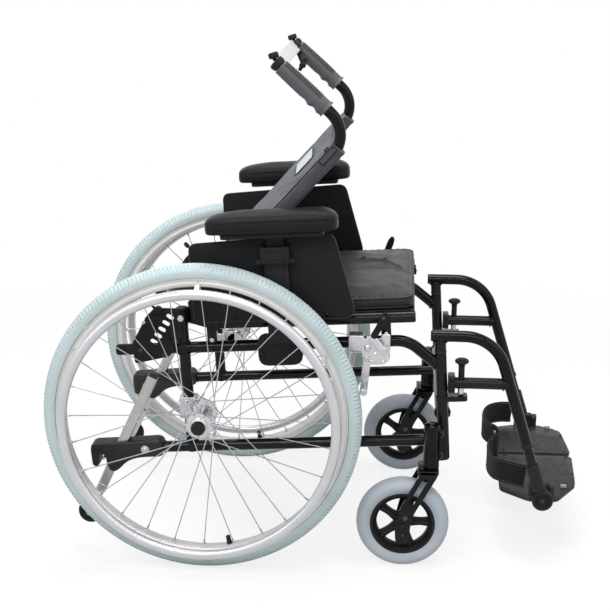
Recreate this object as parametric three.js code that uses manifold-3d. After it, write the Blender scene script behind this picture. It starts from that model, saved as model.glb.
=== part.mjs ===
// Manual wheelchair: tubular base on large rear wheels and front casters, a seat unit that tilts
// in space on the base, and a backrest that folds forward. Millimetres, X forward, Y left, Z up.
import * as THREE from 'three';
import { mergeVertices } from 'three/addons/utils/BufferGeometryUtils.js';
import Module from 'manifold-3d';

const wasm = await Module();
wasm.setup();

// Clearances and overruns shared by all pieces
const seatGap = 0.3;
const runningGap = 0.8;
const cutOverrun = 2;
const weldDepth = 3;

// Main layout
const frameTrack = 420;
const framePitchDegrees = 3.5;
const tubeDiameter = 22;
const railSpacing = 202;
const uprightX = -30;
const lowerRailHeight = 220.6;
const frontUprightAlong = 489;

// Base side frame
const upperRailTail = 130;
const lowerRailTail = 66;
const upperRailCorner = 428;
const upperRailDrop = 56;
const upperRailBend = 58;
const frontUprightFoot = 38;
const frontUprightHead = 176;
const rearUprightHead = 280;
const saddleWidth = 19;
const saddleThickness = 16;
const frontSaddleAlong = 388;
const rearSaddleAlong = 56;
const crossTubeDiameter = 28;
const crossTubeRise = 14;
const midCrossAlong = 178;
const frontCrossUp = 50;
const latchTabLength = 60;
const latchTabWidth = 26;
const latchTabThickness = 10;
const latchTabUp = 90;
const latchTabRear = 12;

// Slotted plate at the rear of the base
const tiltPlateThickness = 5;
const tiltPlateLength = 102;
const tiltPlateHeight = 109;
const tiltPlateAlong = -98;
const tiltPlateUp = 177;
const tiltSlotLength = 14;
const tiltSlotWidth = 7;
const tiltSlotCount = 5;
const tiltSlotTurnDegrees = -33;
const boltHeadDiameter = 11;
const boltHeadHeight = 5;

// Rear wheels
const wheelDiameter = 607;
const wheelTrack = 557;
const axleHeight = wheelDiameter / 2;
const tyreWidth = 35;
const tyreDepth = 25;
const rimWidth = 30;
const rimDepth = 18;
const rimWallDepth = 14;
const handrimDiameter = 514;
const handrimTube = 19;
const handrimOffset = 50;
const handrimStudCount = 6;
const handrimStudDiameter = 8;
const spokeCount = 28;
const spokeDiameter = 2.2;
const spokeLaceDegrees = 62;
const spokeStagger = 1.3;
const spokeRimOffset = 4.6;
const axleDiameter = 12;
const hubBodyDiameter = 28;
const hubFlangeDiameter = 50;
const hubFlangeThickness = 5;
const hubInnerFace = 40;
const hubOuterFlange = 36;
const hubCapDiameter = 27;
const hubCapFace = 57;
const hubBoreEnd = 44;

// Axle bracket on the rear upright
const clampWidth = 34;
const clampHeight = 44;
const clampDepth = 30;
const axlePlateThickness = 8;
const axlePlateHeight = 40;
const axleBossDiameter = 34;

// Casters
const casterStemAlong = 466;
const casterDiameter = 179;
const casterTyreWidth = 42;
const casterRimDiameter = 126;
const casterRimInner = 100;
const casterRimWidth = 32;
const casterHubDiameter = 30;
const casterSpokeCount = 5;
const casterSpokeWidth = 15;
const casterSpokeDepth = 12;
const casterTrail = 52;
const casterAxleDiameter = 8;
const forkLegWidth = 30;
const forkLegThickness = 4;
const forkLegGap = 3;
const forkLegTail = 40;
const forkKneeRise = 32;
const forkKneeBack = 8;
const forkCrownClear = 17;
const forkCrownThickness = 8;
const forkSlotWidth = 10;
const stemDiameter = 12;
const stemLength = 62;
const casterHousingDiameter = 31;
const casterHousingHeight = 83;
const casterHousingDome = 6;
const casterFlangeThickness = 7;
const casterFlangeHeight = 66;
const casterFlangeLap = 1;

// Wheel lock
const brakePlateAlong = 356;
const brakePlateWidth = 78;
const brakePlateHeight = 60;
const brakePlateThickness = 4;
const brakeClampWidth = 28;
const brakeClampWall = 7;
const brakeLeverThickness = 6;
const brakeLeverWidth = 15;
const brakeLeverReach = 75;
const brakeArmThickness = 5;
const brakeArmWidth = 16;
const brakeArmLength = 46;
const brakeRollerDiameter = 14;
const brakeRollerLength = 56;
const brakePinDiameter = 7;
const brakeLayerGap = 0.4;

// Footrest hangers, measured from the head of the front upright
const hangerRise = 32.5;
const hangerTail = 18;
const hangerCorner = 103;
const hangerDropDegrees = 72.6;
const hangerBend = 80;
const hangerLength = 227;
const hangerReach = 342;
const hangerSleeveStart = 266;
const hangerSleeveLength = 57;
const hangerSleeveDiameter = 26;
const extensionDiameter = 19;
const hangerPinDiameter = 12;
const hangerPinLength = 34;
const hangerBarDrop = 60;
const hangerHookDepth = 12;
const pivotDiscDiameter = 34;
const pivotDiscWidth = 24;
const latchForward = 40.7;
const latchKnobDiameter = 27;
const latchKnobHeight = 8;
const latchStemDiameter = 12;
const latchStemRise = 41;

// Footplates
const footplateLength = 158;
const footplateInner = 8;
const footplateFold = 120;
const footplateOuter = 197;
const footplateRise = 9.7;
const footplateDrop = 12;
const footplateThickness = 10;
const footHingeDiameter = 8;
const footHingeRise = 17.7;
const footHingeOffset = 190;
const footEarThickness = 10;
const footEarDiameter = 18;
const footLugWidth = 28;
const footLugDepth = 14;
const heelLoopHeight = 50;
const heelLoopThickness = 4;
const heelLoopBack = 21;
const heelLoopLength = 68;
const heelLoopInner = 16;
const heelLoopOuter = 180;

// Anti-tippers
const antitipLeanDegrees = 65;
const antitipBarSize = 20;
const antitipBarLength = 272;
const antitipTopBack = 74;
const antitipTopRise = 141.4;
const antitipWheelDiameter = 50;
const antitipWheelWidth = 22;
const antitipWheelDrop = 42;
const antitipForkThickness = 4;
const antitipAxleDiameter = 8;
const antitipBracketLength = 132;
const antitipBracketHeight = 38;
const antitipBracketWidth = 36;
const antitipBracketRear = -187;
const antitipForkLap = 24;

// Seat unit, drawn level and then turned to the frame's pitch about the tilt pivot on the upright
const tiltPivotUp = 264;
const seatRailRise = 44.9;
const seatRailTrack = 410;
const seatRailFront = 397;
const seatRailRear = 4;
const seatCrossRear = 60;
const seatCrossFront = 320;
const seatPanThickness = 6;
const seatLugThickness = 6;
const seatLugWidth = 30;
const seatRiserWidth = 14;
const seatRiserDepth = 12;
const seatRiserHeight = 26;
const tiltBoltDiameter = 10;
const cushionWidth = 396;
const cushionRear = 26;
const cushionFront = 397;
const cushionEdge = 21;
const cushionCrown = 12;
const cushionDraw = 5;
const cushionCornerRadius = 26;
const cushionCreaseDepth = 7;
const cushionCreaseWidth = 14;

// Side guards
const guardOffset = 241;
const guardThickness = 4;
const guardRear = -17;
const guardFront = 290;
const guardRise = 12;
const guardHeight = 163;
const guardRearDrop = 10;
const guardSlant = 36;
const guardCorner = 16;
const guardStudDiameter = 10;
const guardStudInset = 20;

// Armrests
const armOffset = 257;
const armPostX = 146;
const armPostWidth = 45;
const armPostDepth = 15;
const armPostRise = 143;
const armCollarWidth = 54;
const armCollarDepth = 28;
const armCollarHeight = 32;
const armStemWidth = 32;
const armStemDepth = 8;
const armStemEngagement = 110;
const armReceiverWidth = 84;
const armReceiverHeight = 63;
const armReceiverDrop = 74;
const armReceiverBack = 45;
const armReceiverThickness = 8;
const armReceiverCorner = 18;
const armBoltDiameter = 14;
const armBoltHeight = 3;
const armCarrierLength = 190;
const armCarrierWidth = 44;
const armCarrierThickness = 10;
const armPadLength = 244;
const armPadWidth = 64;
const armPadHeight = 30;
const armPadRise = 228;
const armPadRear = 21;
const armPadCrown = 10;
const armPadDraw = 4;
const armPadCorner = 28;

// Backrest, drawn upright about its hinge and then folded forward
const foldHingeX = -18;
const foldHingeRise = 43;
const foldedDegrees = 45.6;
const foldPinDiameter = 8;
const foldForkThickness = 5;
const foldForkWidth = 24;
const caneFoot = 11;
const caneHeight = 440;
const caneBend = 56;
const handleReach = 192;
const gripStart = 64;
const gripLength = 114;
const gripDiameter = 30;
const gripSwell = 3;
const upholsteryBottom = 96;
const upholsteryTop = 404;
const upholsteryWidth = 446;
const upholsteryDepth = 30;
const upholsterySag = 14;
const sleeveRoundShare = 0.45;
const panelThinShare = 0.4;
const stiffBarDiameter = 20;
const stiffBarRise = 7;
const stiffClampWidth = 20;
const stiffClampDiameter = 34;

// Tilt lock levers on the slotted plates
const lockAlong = -46;
const lockUp = 271;
const lockBlockWidth = 16;
const lockBlockThickness = 12;
const lockBlockBack = [-13, -5];
const lockBlockFront = [6, 13];
const lockPinReach = [-27, -12];
const lockLeverRoot = [2, 14];
const lockLeverReach = [-14, 34];
const lockPinDiameter = 6;
const lockLeverDiameter = 7;

// Side counts of round forms
const tubeSides = 8;
const wheelSides = 36;
const casterSides = 24;
const smallSides = 12;
const boltSides = 8;
const headSides = 6;
const spokeSides = 3;
const arcSteps = 3;
const bendSteps = 4;
const handrimSides = 6;

// Unit directions and shared angles
const axisY = new THREE.Vector3(0, 1, 0);
const quarterTurn = Math.PI / 2;
const fullTurn = 2 * Math.PI;
const framePitch = THREE.MathUtils.degToRad(framePitchDegrees);
const tubeRadius = tubeDiameter / 2;
const framePlane = frameTrack / 2;

const material = (color, roughness, metalness) =>
  new THREE.MeshStandardMaterial({ color, roughness, metalness });

// Solids made from three.js shapes, joined and cut as closed bodies
function solid(geometry) {
  const bare = geometry.clone();
  bare.deleteAttribute('normal');
  bare.deleteAttribute('uv');
  const merged = mergeVertices(bare);
  const places = merged.attributes.position.array;
  const corners = [];
  for (let index = 0; index < merged.index.count; index += 3) {
    const [a, b, c] = merged.index.array.subarray(index, index + 3);
    if (a !== b && b !== c && c !== a) corners.push(a, b, c);
  }
  const vertex = (index) => new THREE.Vector3().fromArray(places, 3 * index);
  let volume = 0;
  for (let index = 0; index < corners.length; index += 3) {
    const [a, b, c] = corners.slice(index, index + 3).map(vertex);
    volume += a.dot(b.cross(c));
  }
  if (volume < 0) corners.reverse();
  const vertProperties = new Float32Array(places);
  const triVerts = new Uint32Array(corners);
  return new wasm.Manifold(new wasm.Mesh({ numProp: 3, vertProperties, triVerts }));
}

function geometryOf(body) {
  const mesh = body.getMesh();
  const geometry = new THREE.BufferGeometry();
  geometry.setAttribute('position', new THREE.BufferAttribute(mesh.vertProperties, mesh.numProp));
  geometry.setIndex(new THREE.BufferAttribute(mesh.triVerts, 1));
  geometry.computeVertexNormals();
  return geometry;
}

const joined = (...bodies) => bodies.reduce((whole, body) => whole.add(body));
const cut = (body, ...tools) => tools.reduce((rest, tool) => rest.subtract(tool), body);

// A block by its size and centre
function block(length, width, height, x, y, z) {
  return solid(new THREE.BoxGeometry(length, width, height).translate(x, y, z));
}

// A round rod between two points
function rod(from, to, diameter, sides = tubeSides) {
  const run = new THREE.Vector3().subVectors(to, from);
  const geometry = new THREE.CylinderGeometry(diameter / 2, diameter / 2, run.length(), sides);
  geometry.applyQuaternion(new THREE.Quaternion().setFromUnitVectors(axisY, run.clone().normalize()));
  const middle = from.clone().add(to).divideScalar(2);
  return solid(geometry.translate(middle.x, middle.y, middle.z));
}

// The diameter of a bore that clears a faceted rod however its facets lie
const boreFor = (diameter, gap, sides = tubeSides) => (diameter + 2 * gap) / Math.cos(Math.PI / sides);

// A rod across the chair at one place in side view, between two offsets from the centre plane
function crossRod(x, z, fromY, toY, diameter, sides = tubeSides) {
  return rod(new THREE.Vector3(x, fromY, z), new THREE.Vector3(x, toY, z), diameter, sides);
}

// A run of straight stretches and round bends, with stations only where the tube turns
class PipeRun extends THREE.Curve {
  constructor(corners, bend) {
    super();
    this.stations = [];
    const count = corners.length;
    corners.forEach((corner, index) => {
      const before = index > 0 ? corner.clone().sub(corners[index - 1]).normalize() : null;
      const after = index < count - 1 ? corners[index + 1].clone().sub(corner).normalize() : null;
      if (!before || !after) {
        this.stations.push({ point: corner.clone(), heading: before ?? after });
        return;
      }
      const turn = before.angleTo(after);
      const hinge = before.clone().cross(after).normalize();
      const start = corner.clone().addScaledVector(before, -bend * Math.tan(turn / 2));
      const inward = after.clone().sub(before).normalize();
      const centre = corner.clone().addScaledVector(inward, bend / Math.cos(turn / 2));
      for (let step = 0; step <= bendSteps; step += 1) {
        const angle = turn * step / bendSteps;
        const point = start.clone().sub(centre).applyAxisAngle(hinge, angle).add(centre);
        this.stations.push({ point, heading: before.clone().applyAxisAngle(hinge, angle) });
      }
    });
  }

  getPoint(share, target = new THREE.Vector3()) {
    const place = share * (this.stations.length - 1);
    const index = Math.min(Math.floor(place), this.stations.length - 2);
    return target.copy(this.stations[index].point).lerp(this.stations[index + 1].point, place - index);
  }

  getPointAt(share, target) {
    return this.getPoint(share, target);
  }

  getTangentAt(share, target = new THREE.Vector3()) {
    return target.copy(this.stations[Math.round(share * (this.stations.length - 1))].heading);
  }
}

function roundSection(diameter, sides) {
  const points = [];
  for (let index = 0; index < sides; index += 1) {
    const angle = fullTurn * index / sides;
    points.push(new THREE.Vector2(Math.cos(angle), Math.sin(angle)).multiplyScalar(diameter / 2));
  }
  return new THREE.Shape(points);
}

function bentTube(corners, bend, diameter = tubeDiameter, sides = tubeSides) {
  const run = new PipeRun(corners, bend);
  const steps = run.stations.length - 1;
  return solid(new THREE.ExtrudeGeometry(roundSection(diameter, sides), { extrudePath: run, steps }));
}

// A closed outline from points, with its corners rounded
function outline(points, radius) {
  const shape = new THREE.Shape();
  const corners = points.map(([x, y]) => new THREE.Vector2(x, y));
  corners.forEach((corner, index) => {
    const before = corners[(index + corners.length - 1) % corners.length].clone().sub(corner);
    const after = corners[(index + 1) % corners.length].clone().sub(corner);
    const reach = Math.min(radius, before.length() / 2, after.length() / 2);
    const enter = corner.clone().addScaledVector(before.normalize(), reach);
    const leave = corner.clone().addScaledVector(after.normalize(), reach);
    if (index === 0) shape.moveTo(enter.x, enter.y);
    else shape.lineTo(enter.x, enter.y);
    if (reach > 0) shape.quadraticCurveTo(corner.x, corner.y, leave.x, leave.y);
  });
  shape.closePath();
  return shape;
}

// An outline given as shares of a box with its lowest corner at one place
const sharesOutline = (shares, x, y, length, height, radius) =>
  outline(shares.map(([across, along]) => [x + across * length, y + along * height]), radius);

// A bar with round ends between two places
function barOutline([fromX, fromY], [toX, toY], width) {
  const angle = Math.atan2(toY - fromY, toX - fromX);
  const shape = new THREE.Shape();
  shape.absarc(toX, toY, width / 2, angle - quarterTurn, angle + quarterTurn, false);
  shape.absarc(fromX, fromY, width / 2, angle + quarterTurn, angle - quarterTurn + fullTurn, false);
  shape.closePath();
  return shape;
}

// Plates lying in side view (X and Z), flat (X and Y) and in front view (Y and Z)
function sidePlate(shape, thickness, y, curveSegments = arcSteps) {
  const extrusion = { depth: thickness, bevelEnabled: false, curveSegments };
  const geometry = new THREE.ExtrudeGeometry(shape, extrusion);
  return solid(geometry.rotateX(quarterTurn).translate(0, y + thickness / 2, 0));
}

function flatPlate(shape, thickness, z, curveSegments = arcSteps) {
  const extrusion = { depth: thickness, bevelEnabled: false, curveSegments };
  const geometry = new THREE.ExtrudeGeometry(shape, extrusion);
  return solid(geometry.translate(0, 0, z));
}

function frontPlate(shape, length, x) {
  const geometry = new THREE.ExtrudeGeometry(shape, { depth: length, bevelEnabled: false });
  const turn = new THREE.Matrix4().set(0, 0, 1, 0, 1, 0, 0, 0, 0, 1, 0, 0, 0, 0, 0, 1);
  return solid(geometry.applyMatrix4(turn).translate(x, 0, 0));
}

// A turned body about an axis across the chair, from pairs of radius and offset along the axis
function turned(profile, sides, side) {
  const points = profile.map(([radius, offset]) => new THREE.Vector2(radius, side * offset));
  return solid(new THREE.LatheGeometry(points, sides));
}

const closedProfile = (points) => [...points, points[0]];

// A body built level on the base rails, then turned to the pitch of the frame about its origin
const framePoint = (along, up, y) => new THREE.Vector3(
  uprightX + along * Math.cos(framePitch) - up * Math.sin(framePitch),
  y,
  lowerRailHeight + along * Math.sin(framePitch) + up * Math.cos(framePitch));

function pitched(body) {
  return body.rotate([0, -framePitchDegrees, 0]).translate([uprightX, 0, lowerRailHeight]);
}

const frameRod = (fromAlong, fromUp, toAlong, toUp, y, diameter) =>
  rod(framePoint(fromAlong, fromUp, y), framePoint(toAlong, toUp, y), diameter);

// An assembly whose pieces are drawn in whole-chair coordinates and hung about its pivot
class Assembly {
  constructor(parent, pivot) {
    this.group = new THREE.Group();
    this.pivot = pivot;
    if (parent) {
      this.group.position.copy(pivot).sub(parent.pivot);
      parent.group.add(this.group);
    }
  }

  add(name, body, color, roughness, metalness) {
    const mesh = new THREE.Mesh(
      geometryOf(body.translate([-this.pivot.x, -this.pivot.y, -this.pivot.z])),
      material(color, roughness, metalness));
    mesh.name = name;
    this.group.add(mesh);
  }
}

const base = new Assembly(null, new THREE.Vector3());
const sides = [['right', -1], ['left', 1]];

// Finishes: colour, roughness, metalness
const blackPaint = [0x17181a, 0.25, 0.3];
const blackPlastic = [0x1d1e20, 0.55, 0];
const greyPlastic = [0x37383c, 0.6, 0];
const gripRubber = [0x55565b, 0.7, 0];
const darkCloth = [0x26272b, 0.9, 0];
const greyCloth = [0x4b4c50, 0.9, 0];
const webbing = [0x1f2023, 0.95, 0];
const silver = [0xc9cacb, 0.3, 0.9];
const castAlloy = [0xb9babb, 0.45, 0.8];
const paleRubber = [0xc3d3d3, 0.8, 0];
const casterRubber = [0xa9b1b8, 0.75, 0];

// A bolt head on the outer face of a piece, at one place in side view
const boltHead = (side, x, z, face, diameter = boltHeadDiameter) => crossRod(
  x, z, side * (face - weldDepth), side * (face + boltHeadHeight), diameter, headSides);

// Places worked out once from the sizes above
const tiltPivot = framePoint(0, tiltPivotUp, 0);
const frontHead = framePoint(frontUprightAlong, frontUprightHead, 0);
const seatRailPlane = seatRailTrack / 2;
const seatRailHeight = tiltPivot.z - tiltPivotUp + railSpacing + seatRailRise;
const foldHingeHeight = seatRailHeight + foldHingeRise;
const guardBottom = seatRailHeight + guardRise;
const guardTop = guardBottom + guardHeight;
const seatPanTop = seatRailHeight + tubeRadius - weldDepth + seatPanThickness;
const cushionBottom = seatPanTop + seatGap;

// A body drawn level with the seat unit, turned to the pitch of the frame about the tilt pivot
const seated = (body) => body.translate([-tiltPivot.x, 0, -tiltPivot.z])
  .rotate([0, -framePitchDegrees, 0]).translate([tiltPivot.x, 0, tiltPivot.z]);

// The slotted plate: outline and the row of slots as shares of its box
const tiltPlateShares = [
  [0, 0.36], [0.31, 0.845], [0.523, 1], [1, 0.975], [0.99, 0.47], [0.69, 0.11], [0.026, 0]];
const tiltSlotFirstShare = [0.425, 0.391];
const tiltSlotLastShare = [0.768, 0.831];
const tiltPlateCorner = 5;
const plateBoltShares = [[0.844, 0.4], [0.616, 0.164], [0.16, 0.246]];

function tiltPlate(side) {
  const plane = side * (framePlane + tubeRadius + tiltPlateThickness / 2 - weldDepth / 2);
  const shape = sharesOutline(
    tiltPlateShares, tiltPlateAlong, tiltPlateUp, tiltPlateLength, tiltPlateHeight, tiltPlateCorner);
  const slots = [];
  const slotTurn = THREE.MathUtils.degToRad(tiltSlotTurnDegrees);
  const halfSlot = new THREE.Vector2(Math.cos(slotTurn), Math.sin(slotTurn))
    .multiplyScalar((tiltSlotLength - tiltSlotWidth) / 2);
  for (let index = 0; index < tiltSlotCount; index += 1) {
    const share = index / (tiltSlotCount - 1);
    const across = THREE.MathUtils.lerp(tiltSlotFirstShare[0], tiltSlotLastShare[0], share);
    const along = THREE.MathUtils.lerp(tiltSlotFirstShare[1], tiltSlotLastShare[1], share);
    const x = tiltPlateAlong + across * tiltPlateLength;
    const z = tiltPlateUp + along * tiltPlateHeight;
    const slotRear = [x - halfSlot.x, z - halfSlot.y];
    const slotFront = [x + halfSlot.x, z + halfSlot.y];
    const slot = barOutline(slotRear, slotFront, tiltSlotWidth);
    slots.push(sidePlate(slot, tiltPlateThickness + cutOverrun, plane, 1));
  }
  const lockHole = crossRod(lockAlong, lockUp, plane - tiltPlateThickness, plane + tiltPlateThickness,
    boreFor(lockPinDiameter, runningGap / 2, boltSides), boltSides);
  const heads = plateBoltShares.map(([across, along]) => boltHead(
    side, tiltPlateAlong + across * tiltPlateLength, tiltPlateUp + along * tiltPlateHeight,
    Math.abs(plane) + tiltPlateThickness / 2));
  return joined(cut(sidePlate(shape, tiltPlateThickness, plane), ...slots, lockHole), ...heads);
}

// One welded side of the base, with its saddles, latch tab and slotted plate
function sideFrame(side) {
  const plane = side * framePlane;
  const upperRail = bentTube(
    [
      framePoint(-upperRailTail, railSpacing, plane),
      framePoint(upperRailCorner, railSpacing, plane),
      framePoint(frontUprightAlong, railSpacing - upperRailDrop, plane),
    ],
    upperRailBend);
  const lowerRail = frameRod(-lowerRailTail, 0, frontUprightAlong, 0, plane, tubeDiameter);
  const frontUpright = frameRod(
    frontUprightAlong, -frontUprightFoot, frontUprightAlong, frontUprightHead, plane, tubeDiameter);
  const rearUpright = frameRod(0, -tubeRadius, 0, rearUprightHead, plane, tubeDiameter);
  const saddles = [rearSaddleAlong, frontSaddleAlong].map((along) => {
    const middleZ = seatRailHeight - seatRailRise / 2;
    return seated(block(saddleWidth, saddleThickness, seatRailRise,
      tiltPivot.x + along, side * (framePlane + seatRailPlane) / 2, middleZ));
  });
  const tabCentre = frontUprightAlong - latchTabRear + latchTabLength / 2;
  const latchTab = pitched(block(latchTabLength, latchTabWidth, latchTabThickness,
    tabCentre, plane, latchTabUp - latchTabThickness / 2));
  const seatRailBed = seated(rod(
    new THREE.Vector3(foldHingeX, side * seatRailPlane, seatRailHeight),
    new THREE.Vector3(seatRailFront, side * seatRailPlane, seatRailHeight), tubeDiameter + 2 * seatGap));
  const hangerBore = frameRod(
    frontUprightAlong, frontUprightHead - hangerPinLength - cutOverrun,
    frontUprightAlong, frontUprightHead + cutOverrun, plane, boreFor(hangerPinDiameter, runningGap / 2));
  const tiltBore = crossRod(tiltPivot.x, tiltPivot.z, plane - tubeDiameter, plane + tubeDiameter,
    boreFor(tiltBoltDiameter, runningGap / 2, boltSides), boltSides);
  const plate = pitched(tiltPlate(side));
  return cut(
    joined(upperRail, lowerRail, frontUpright, rearUpright, ...saddles, latchTab, plate),
    seatRailBed, hangerBore, tiltBore);
}

// A tube that ties the side frames together at one place
function crossTube(along, up) {
  const reach = framePlane - tubeRadius - seatGap;
  const place = framePoint(along, up, 0);
  return crossRod(place.x, place.z, -reach, reach, crossTubeDiameter);
}

// Clamp on the rear upright that carries the wheel's axle
function axleBracket(side) {
  const alongPlane = side * framePlane;
  const upright = frameRod(0, -tubeRadius, 0, rearUprightHead, alongPlane, tubeDiameter + 2 * seatGap);
  const uprightAtAxle = uprightX - (axleHeight - lowerRailHeight) * Math.tan(framePitch);
  const outerFace = framePlane + clampDepth / 2;
  const clamp = block(clampWidth, clampDepth, clampHeight, uprightAtAxle, alongPlane, axleHeight);
  const plateLength = -uprightAtAxle;
  const plate = block(plateLength, axlePlateThickness, axlePlateHeight,
    uprightAtAxle / 2, side * (outerFace - axlePlateThickness / 2), axleHeight);
  const hubFace = wheelTrack / 2 - hubInnerFace;
  const boss = crossRod(0, axleHeight, side * (outerFace - axlePlateThickness),
    side * (hubFace - seatGap), axleBossDiameter, smallSides);
  const axle = crossRod(0, axleHeight, side * (outerFace - axlePlateThickness),
    side * (wheelTrack / 2 + hubBoreEnd - seatGap), axleDiameter, boltSides);
  return joined(cut(joined(clamp, plate), upright), boss, axle);
}

// Rear wheel pieces, turned about the axle
function tyre() {
  const outer = wheelDiameter / 2;
  const inner = outer - tyreDepth;
  const half = tyreWidth / 2;
  const shoulder = tyreDepth / 6;
  const foot = (rimWidth + tyreWidth) / 4;
  return turned(closedProfile([
    [inner, -foot], [inner + 2 * shoulder, -half], [outer - 2 * shoulder, -half * 7 / 8],
    [outer, -half * 3 / 8], [outer, half * 3 / 8], [outer - 2 * shoulder, half * 7 / 8],
    [inner + 2 * shoulder, half], [inner, foot]]), wheelSides, 1);
}

function rim() {
  const outer = wheelDiameter / 2 - tyreDepth - seatGap;
  const wall = outer - rimWallDepth;
  const inner = outer - rimDepth;
  const half = rimWidth / 2;
  return turned(closedProfile([
    [outer, -half], [outer, half], [wall, half], [inner, half * 2 / 3],
    [inner, -half * 2 / 3], [wall, -half]]), wheelSides, 1);
}

// Hub with its cap, and the crossing spokes that stop just short of the rim
function spokedHub(side) {
  const body = hubBodyDiameter / 2;
  const flange = hubFlangeDiameter / 2;
  const cap = hubCapDiameter / 2;
  const bore = boreFor(axleDiameter, runningGap / 2, boltSides) / 2;
  const outerFace = hubOuterFlange + hubFlangeThickness / 2;
  const hub = turned([
    [0, hubBoreEnd], [bore, hubBoreEnd], [bore, -hubInnerFace], [flange, -hubInnerFace],
    [flange, hubFlangeThickness - hubInnerFace], [body, 2 * hubFlangeThickness - hubInnerFace],
    [body, hubOuterFlange - 2 * hubFlangeThickness], [flange, hubOuterFlange - hubFlangeThickness / 2],
    [flange, outerFace], [cap, outerFace + hubFlangeThickness], [cap, hubCapFace - seatGap],
    [0, hubCapFace]], 2 * boltSides, side);
  const from = flange - spokeDiameter;
  const rimInner = wheelDiameter / 2 - tyreDepth - seatGap - rimDepth;
  const to = rimInner * Math.cos(Math.PI / wheelSides) - spokeDiameter / 2;
  const lace = THREE.MathUtils.degToRad(spokeLaceDegrees);
  const spokes = [];
  for (let index = 0; index < spokeCount; index += 1) {
    const outward = index % 2 === 0 ? 1 : -1;
    const leading = index % 4 < 2 ? 1 : -1;
    const rimAngle = fullTurn * index / spokeCount;
    const hubAngle = rimAngle + leading * lace;
    const flangeMiddle = outward > 0 ? hubOuterFlange : hubFlangeThickness / 2 - hubInnerFace;
    const hubOffset = side * (flangeMiddle + leading * spokeStagger);
    const rimOffset = side * (outward * spokeRimOffset + leading * spokeStagger);
    spokes.push(rod(
      new THREE.Vector3(from * Math.cos(hubAngle), hubOffset, from * Math.sin(hubAngle)),
      new THREE.Vector3(to * Math.cos(rimAngle), rimOffset, to * Math.sin(rimAngle)),
      spokeDiameter, spokeSides));
  }
  return joined(hub, ...spokes);
}

function handrim(side) {
  const radius = handrimDiameter / 2;
  const ring = new THREE.TorusGeometry(radius, handrimTube / 2, handrimSides, wheelSides);
  const offset = side * handrimOffset;
  const studRadius = wheelDiameter / 2 - tyreDepth - rimWallDepth + handrimStudDiameter / 2 + seatGap;
  const studLean = Math.atan2(studRadius - radius, handrimOffset - rimWidth / 2);
  const studFoot = side * (rimWidth / 2 + seatGap + handrimStudDiameter / 2 * Math.sin(studLean));
  const studs = [];
  for (let index = 0; index < handrimStudCount; index += 1) {
    const angle = fullTurn * (index + 1 / 2) / handrimStudCount;
    studs.push(rod(
      new THREE.Vector3(studRadius * Math.cos(angle), studFoot, studRadius * Math.sin(angle)),
      new THREE.Vector3(radius * Math.cos(angle), offset, radius * Math.sin(angle)),
      handrimStudDiameter, headSides));
  }
  return joined(solid(ring.rotateX(quarterTurn).translate(0, offset, 0)), ...studs);
}

function rearWheel(name, side) {
  const wheel = new Assembly(base, new THREE.Vector3(0, side * wheelTrack / 2, axleHeight));
  const at = [0, side * wheelTrack / 2, axleHeight];
  wheel.add(`${name}_tyre`, tyre().translate(at), ...paleRubber);
  wheel.add(`${name}_rim`, rim().translate(at), ...silver);
  wheel.add(`${name}_spoked_hub`, spokedHub(side).translate(at), ...silver);
  wheel.add(`${name}_handrim`, handrim(side).translate(at), ...silver);
}

// Caster housing on the front upright, with the plate that bolts it there
const casterStem = framePoint(casterStemAlong, 0, 0);
const casterPlane = framePlane + tubeRadius + seatGap + casterHousingDiameter / 2;
const forkCrownHeight = casterDiameter + forkCrownClear;
const housingBottom = forkCrownHeight + forkCrownThickness + seatGap;

function casterHousing(side) {
  const y = side * casterPlane;
  const radius = casterHousingDiameter / 2;
  const bore = (stemDiameter + runningGap) / 2;
  const boreEnd = stemLength + runningGap;
  const shell = solid(new THREE.LatheGeometry([
    [0, boreEnd], [bore, boreEnd], [bore, 0], [radius, 0], [radius, casterHousingHeight],
    [radius / 2, casterHousingHeight + casterHousingDome],
    [0, casterHousingHeight + casterHousingDome],
  ].map(([across, up]) => new THREE.Vector2(across, up)), smallSides).rotateX(quarterTurn));
  const housing = shell.translate([casterStem.x, y, housingBottom]);
  const upright = framePoint(frontUprightAlong, 0, 0);
  const plateFace = framePlane + tubeRadius + seatGap;
  const plateRear = casterStem.x;
  const plate = block(upright.x - plateRear, casterFlangeThickness, casterFlangeHeight,
    (upright.x + plateRear) / 2, side * (plateFace + casterFlangeThickness / 2),
    housingBottom + casterHousingHeight / 2);
  const stemBore = rod(
    new THREE.Vector3(casterStem.x, y, housingBottom - cutOverrun),
    new THREE.Vector3(casterStem.x, y, housingBottom + boreEnd), 2 * bore, smallSides);
  const heads = [-1, 1].map((end) => boltHead(
    side, upright.x - boltHeadDiameter / 2 - casterFlangeLap,
    housingBottom + casterHousingHeight / 2 + end * casterFlangeHeight / 3,
    plateFace + casterFlangeThickness));
  return joined(cut(joined(housing, plate), stemBore), ...heads);
}

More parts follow.
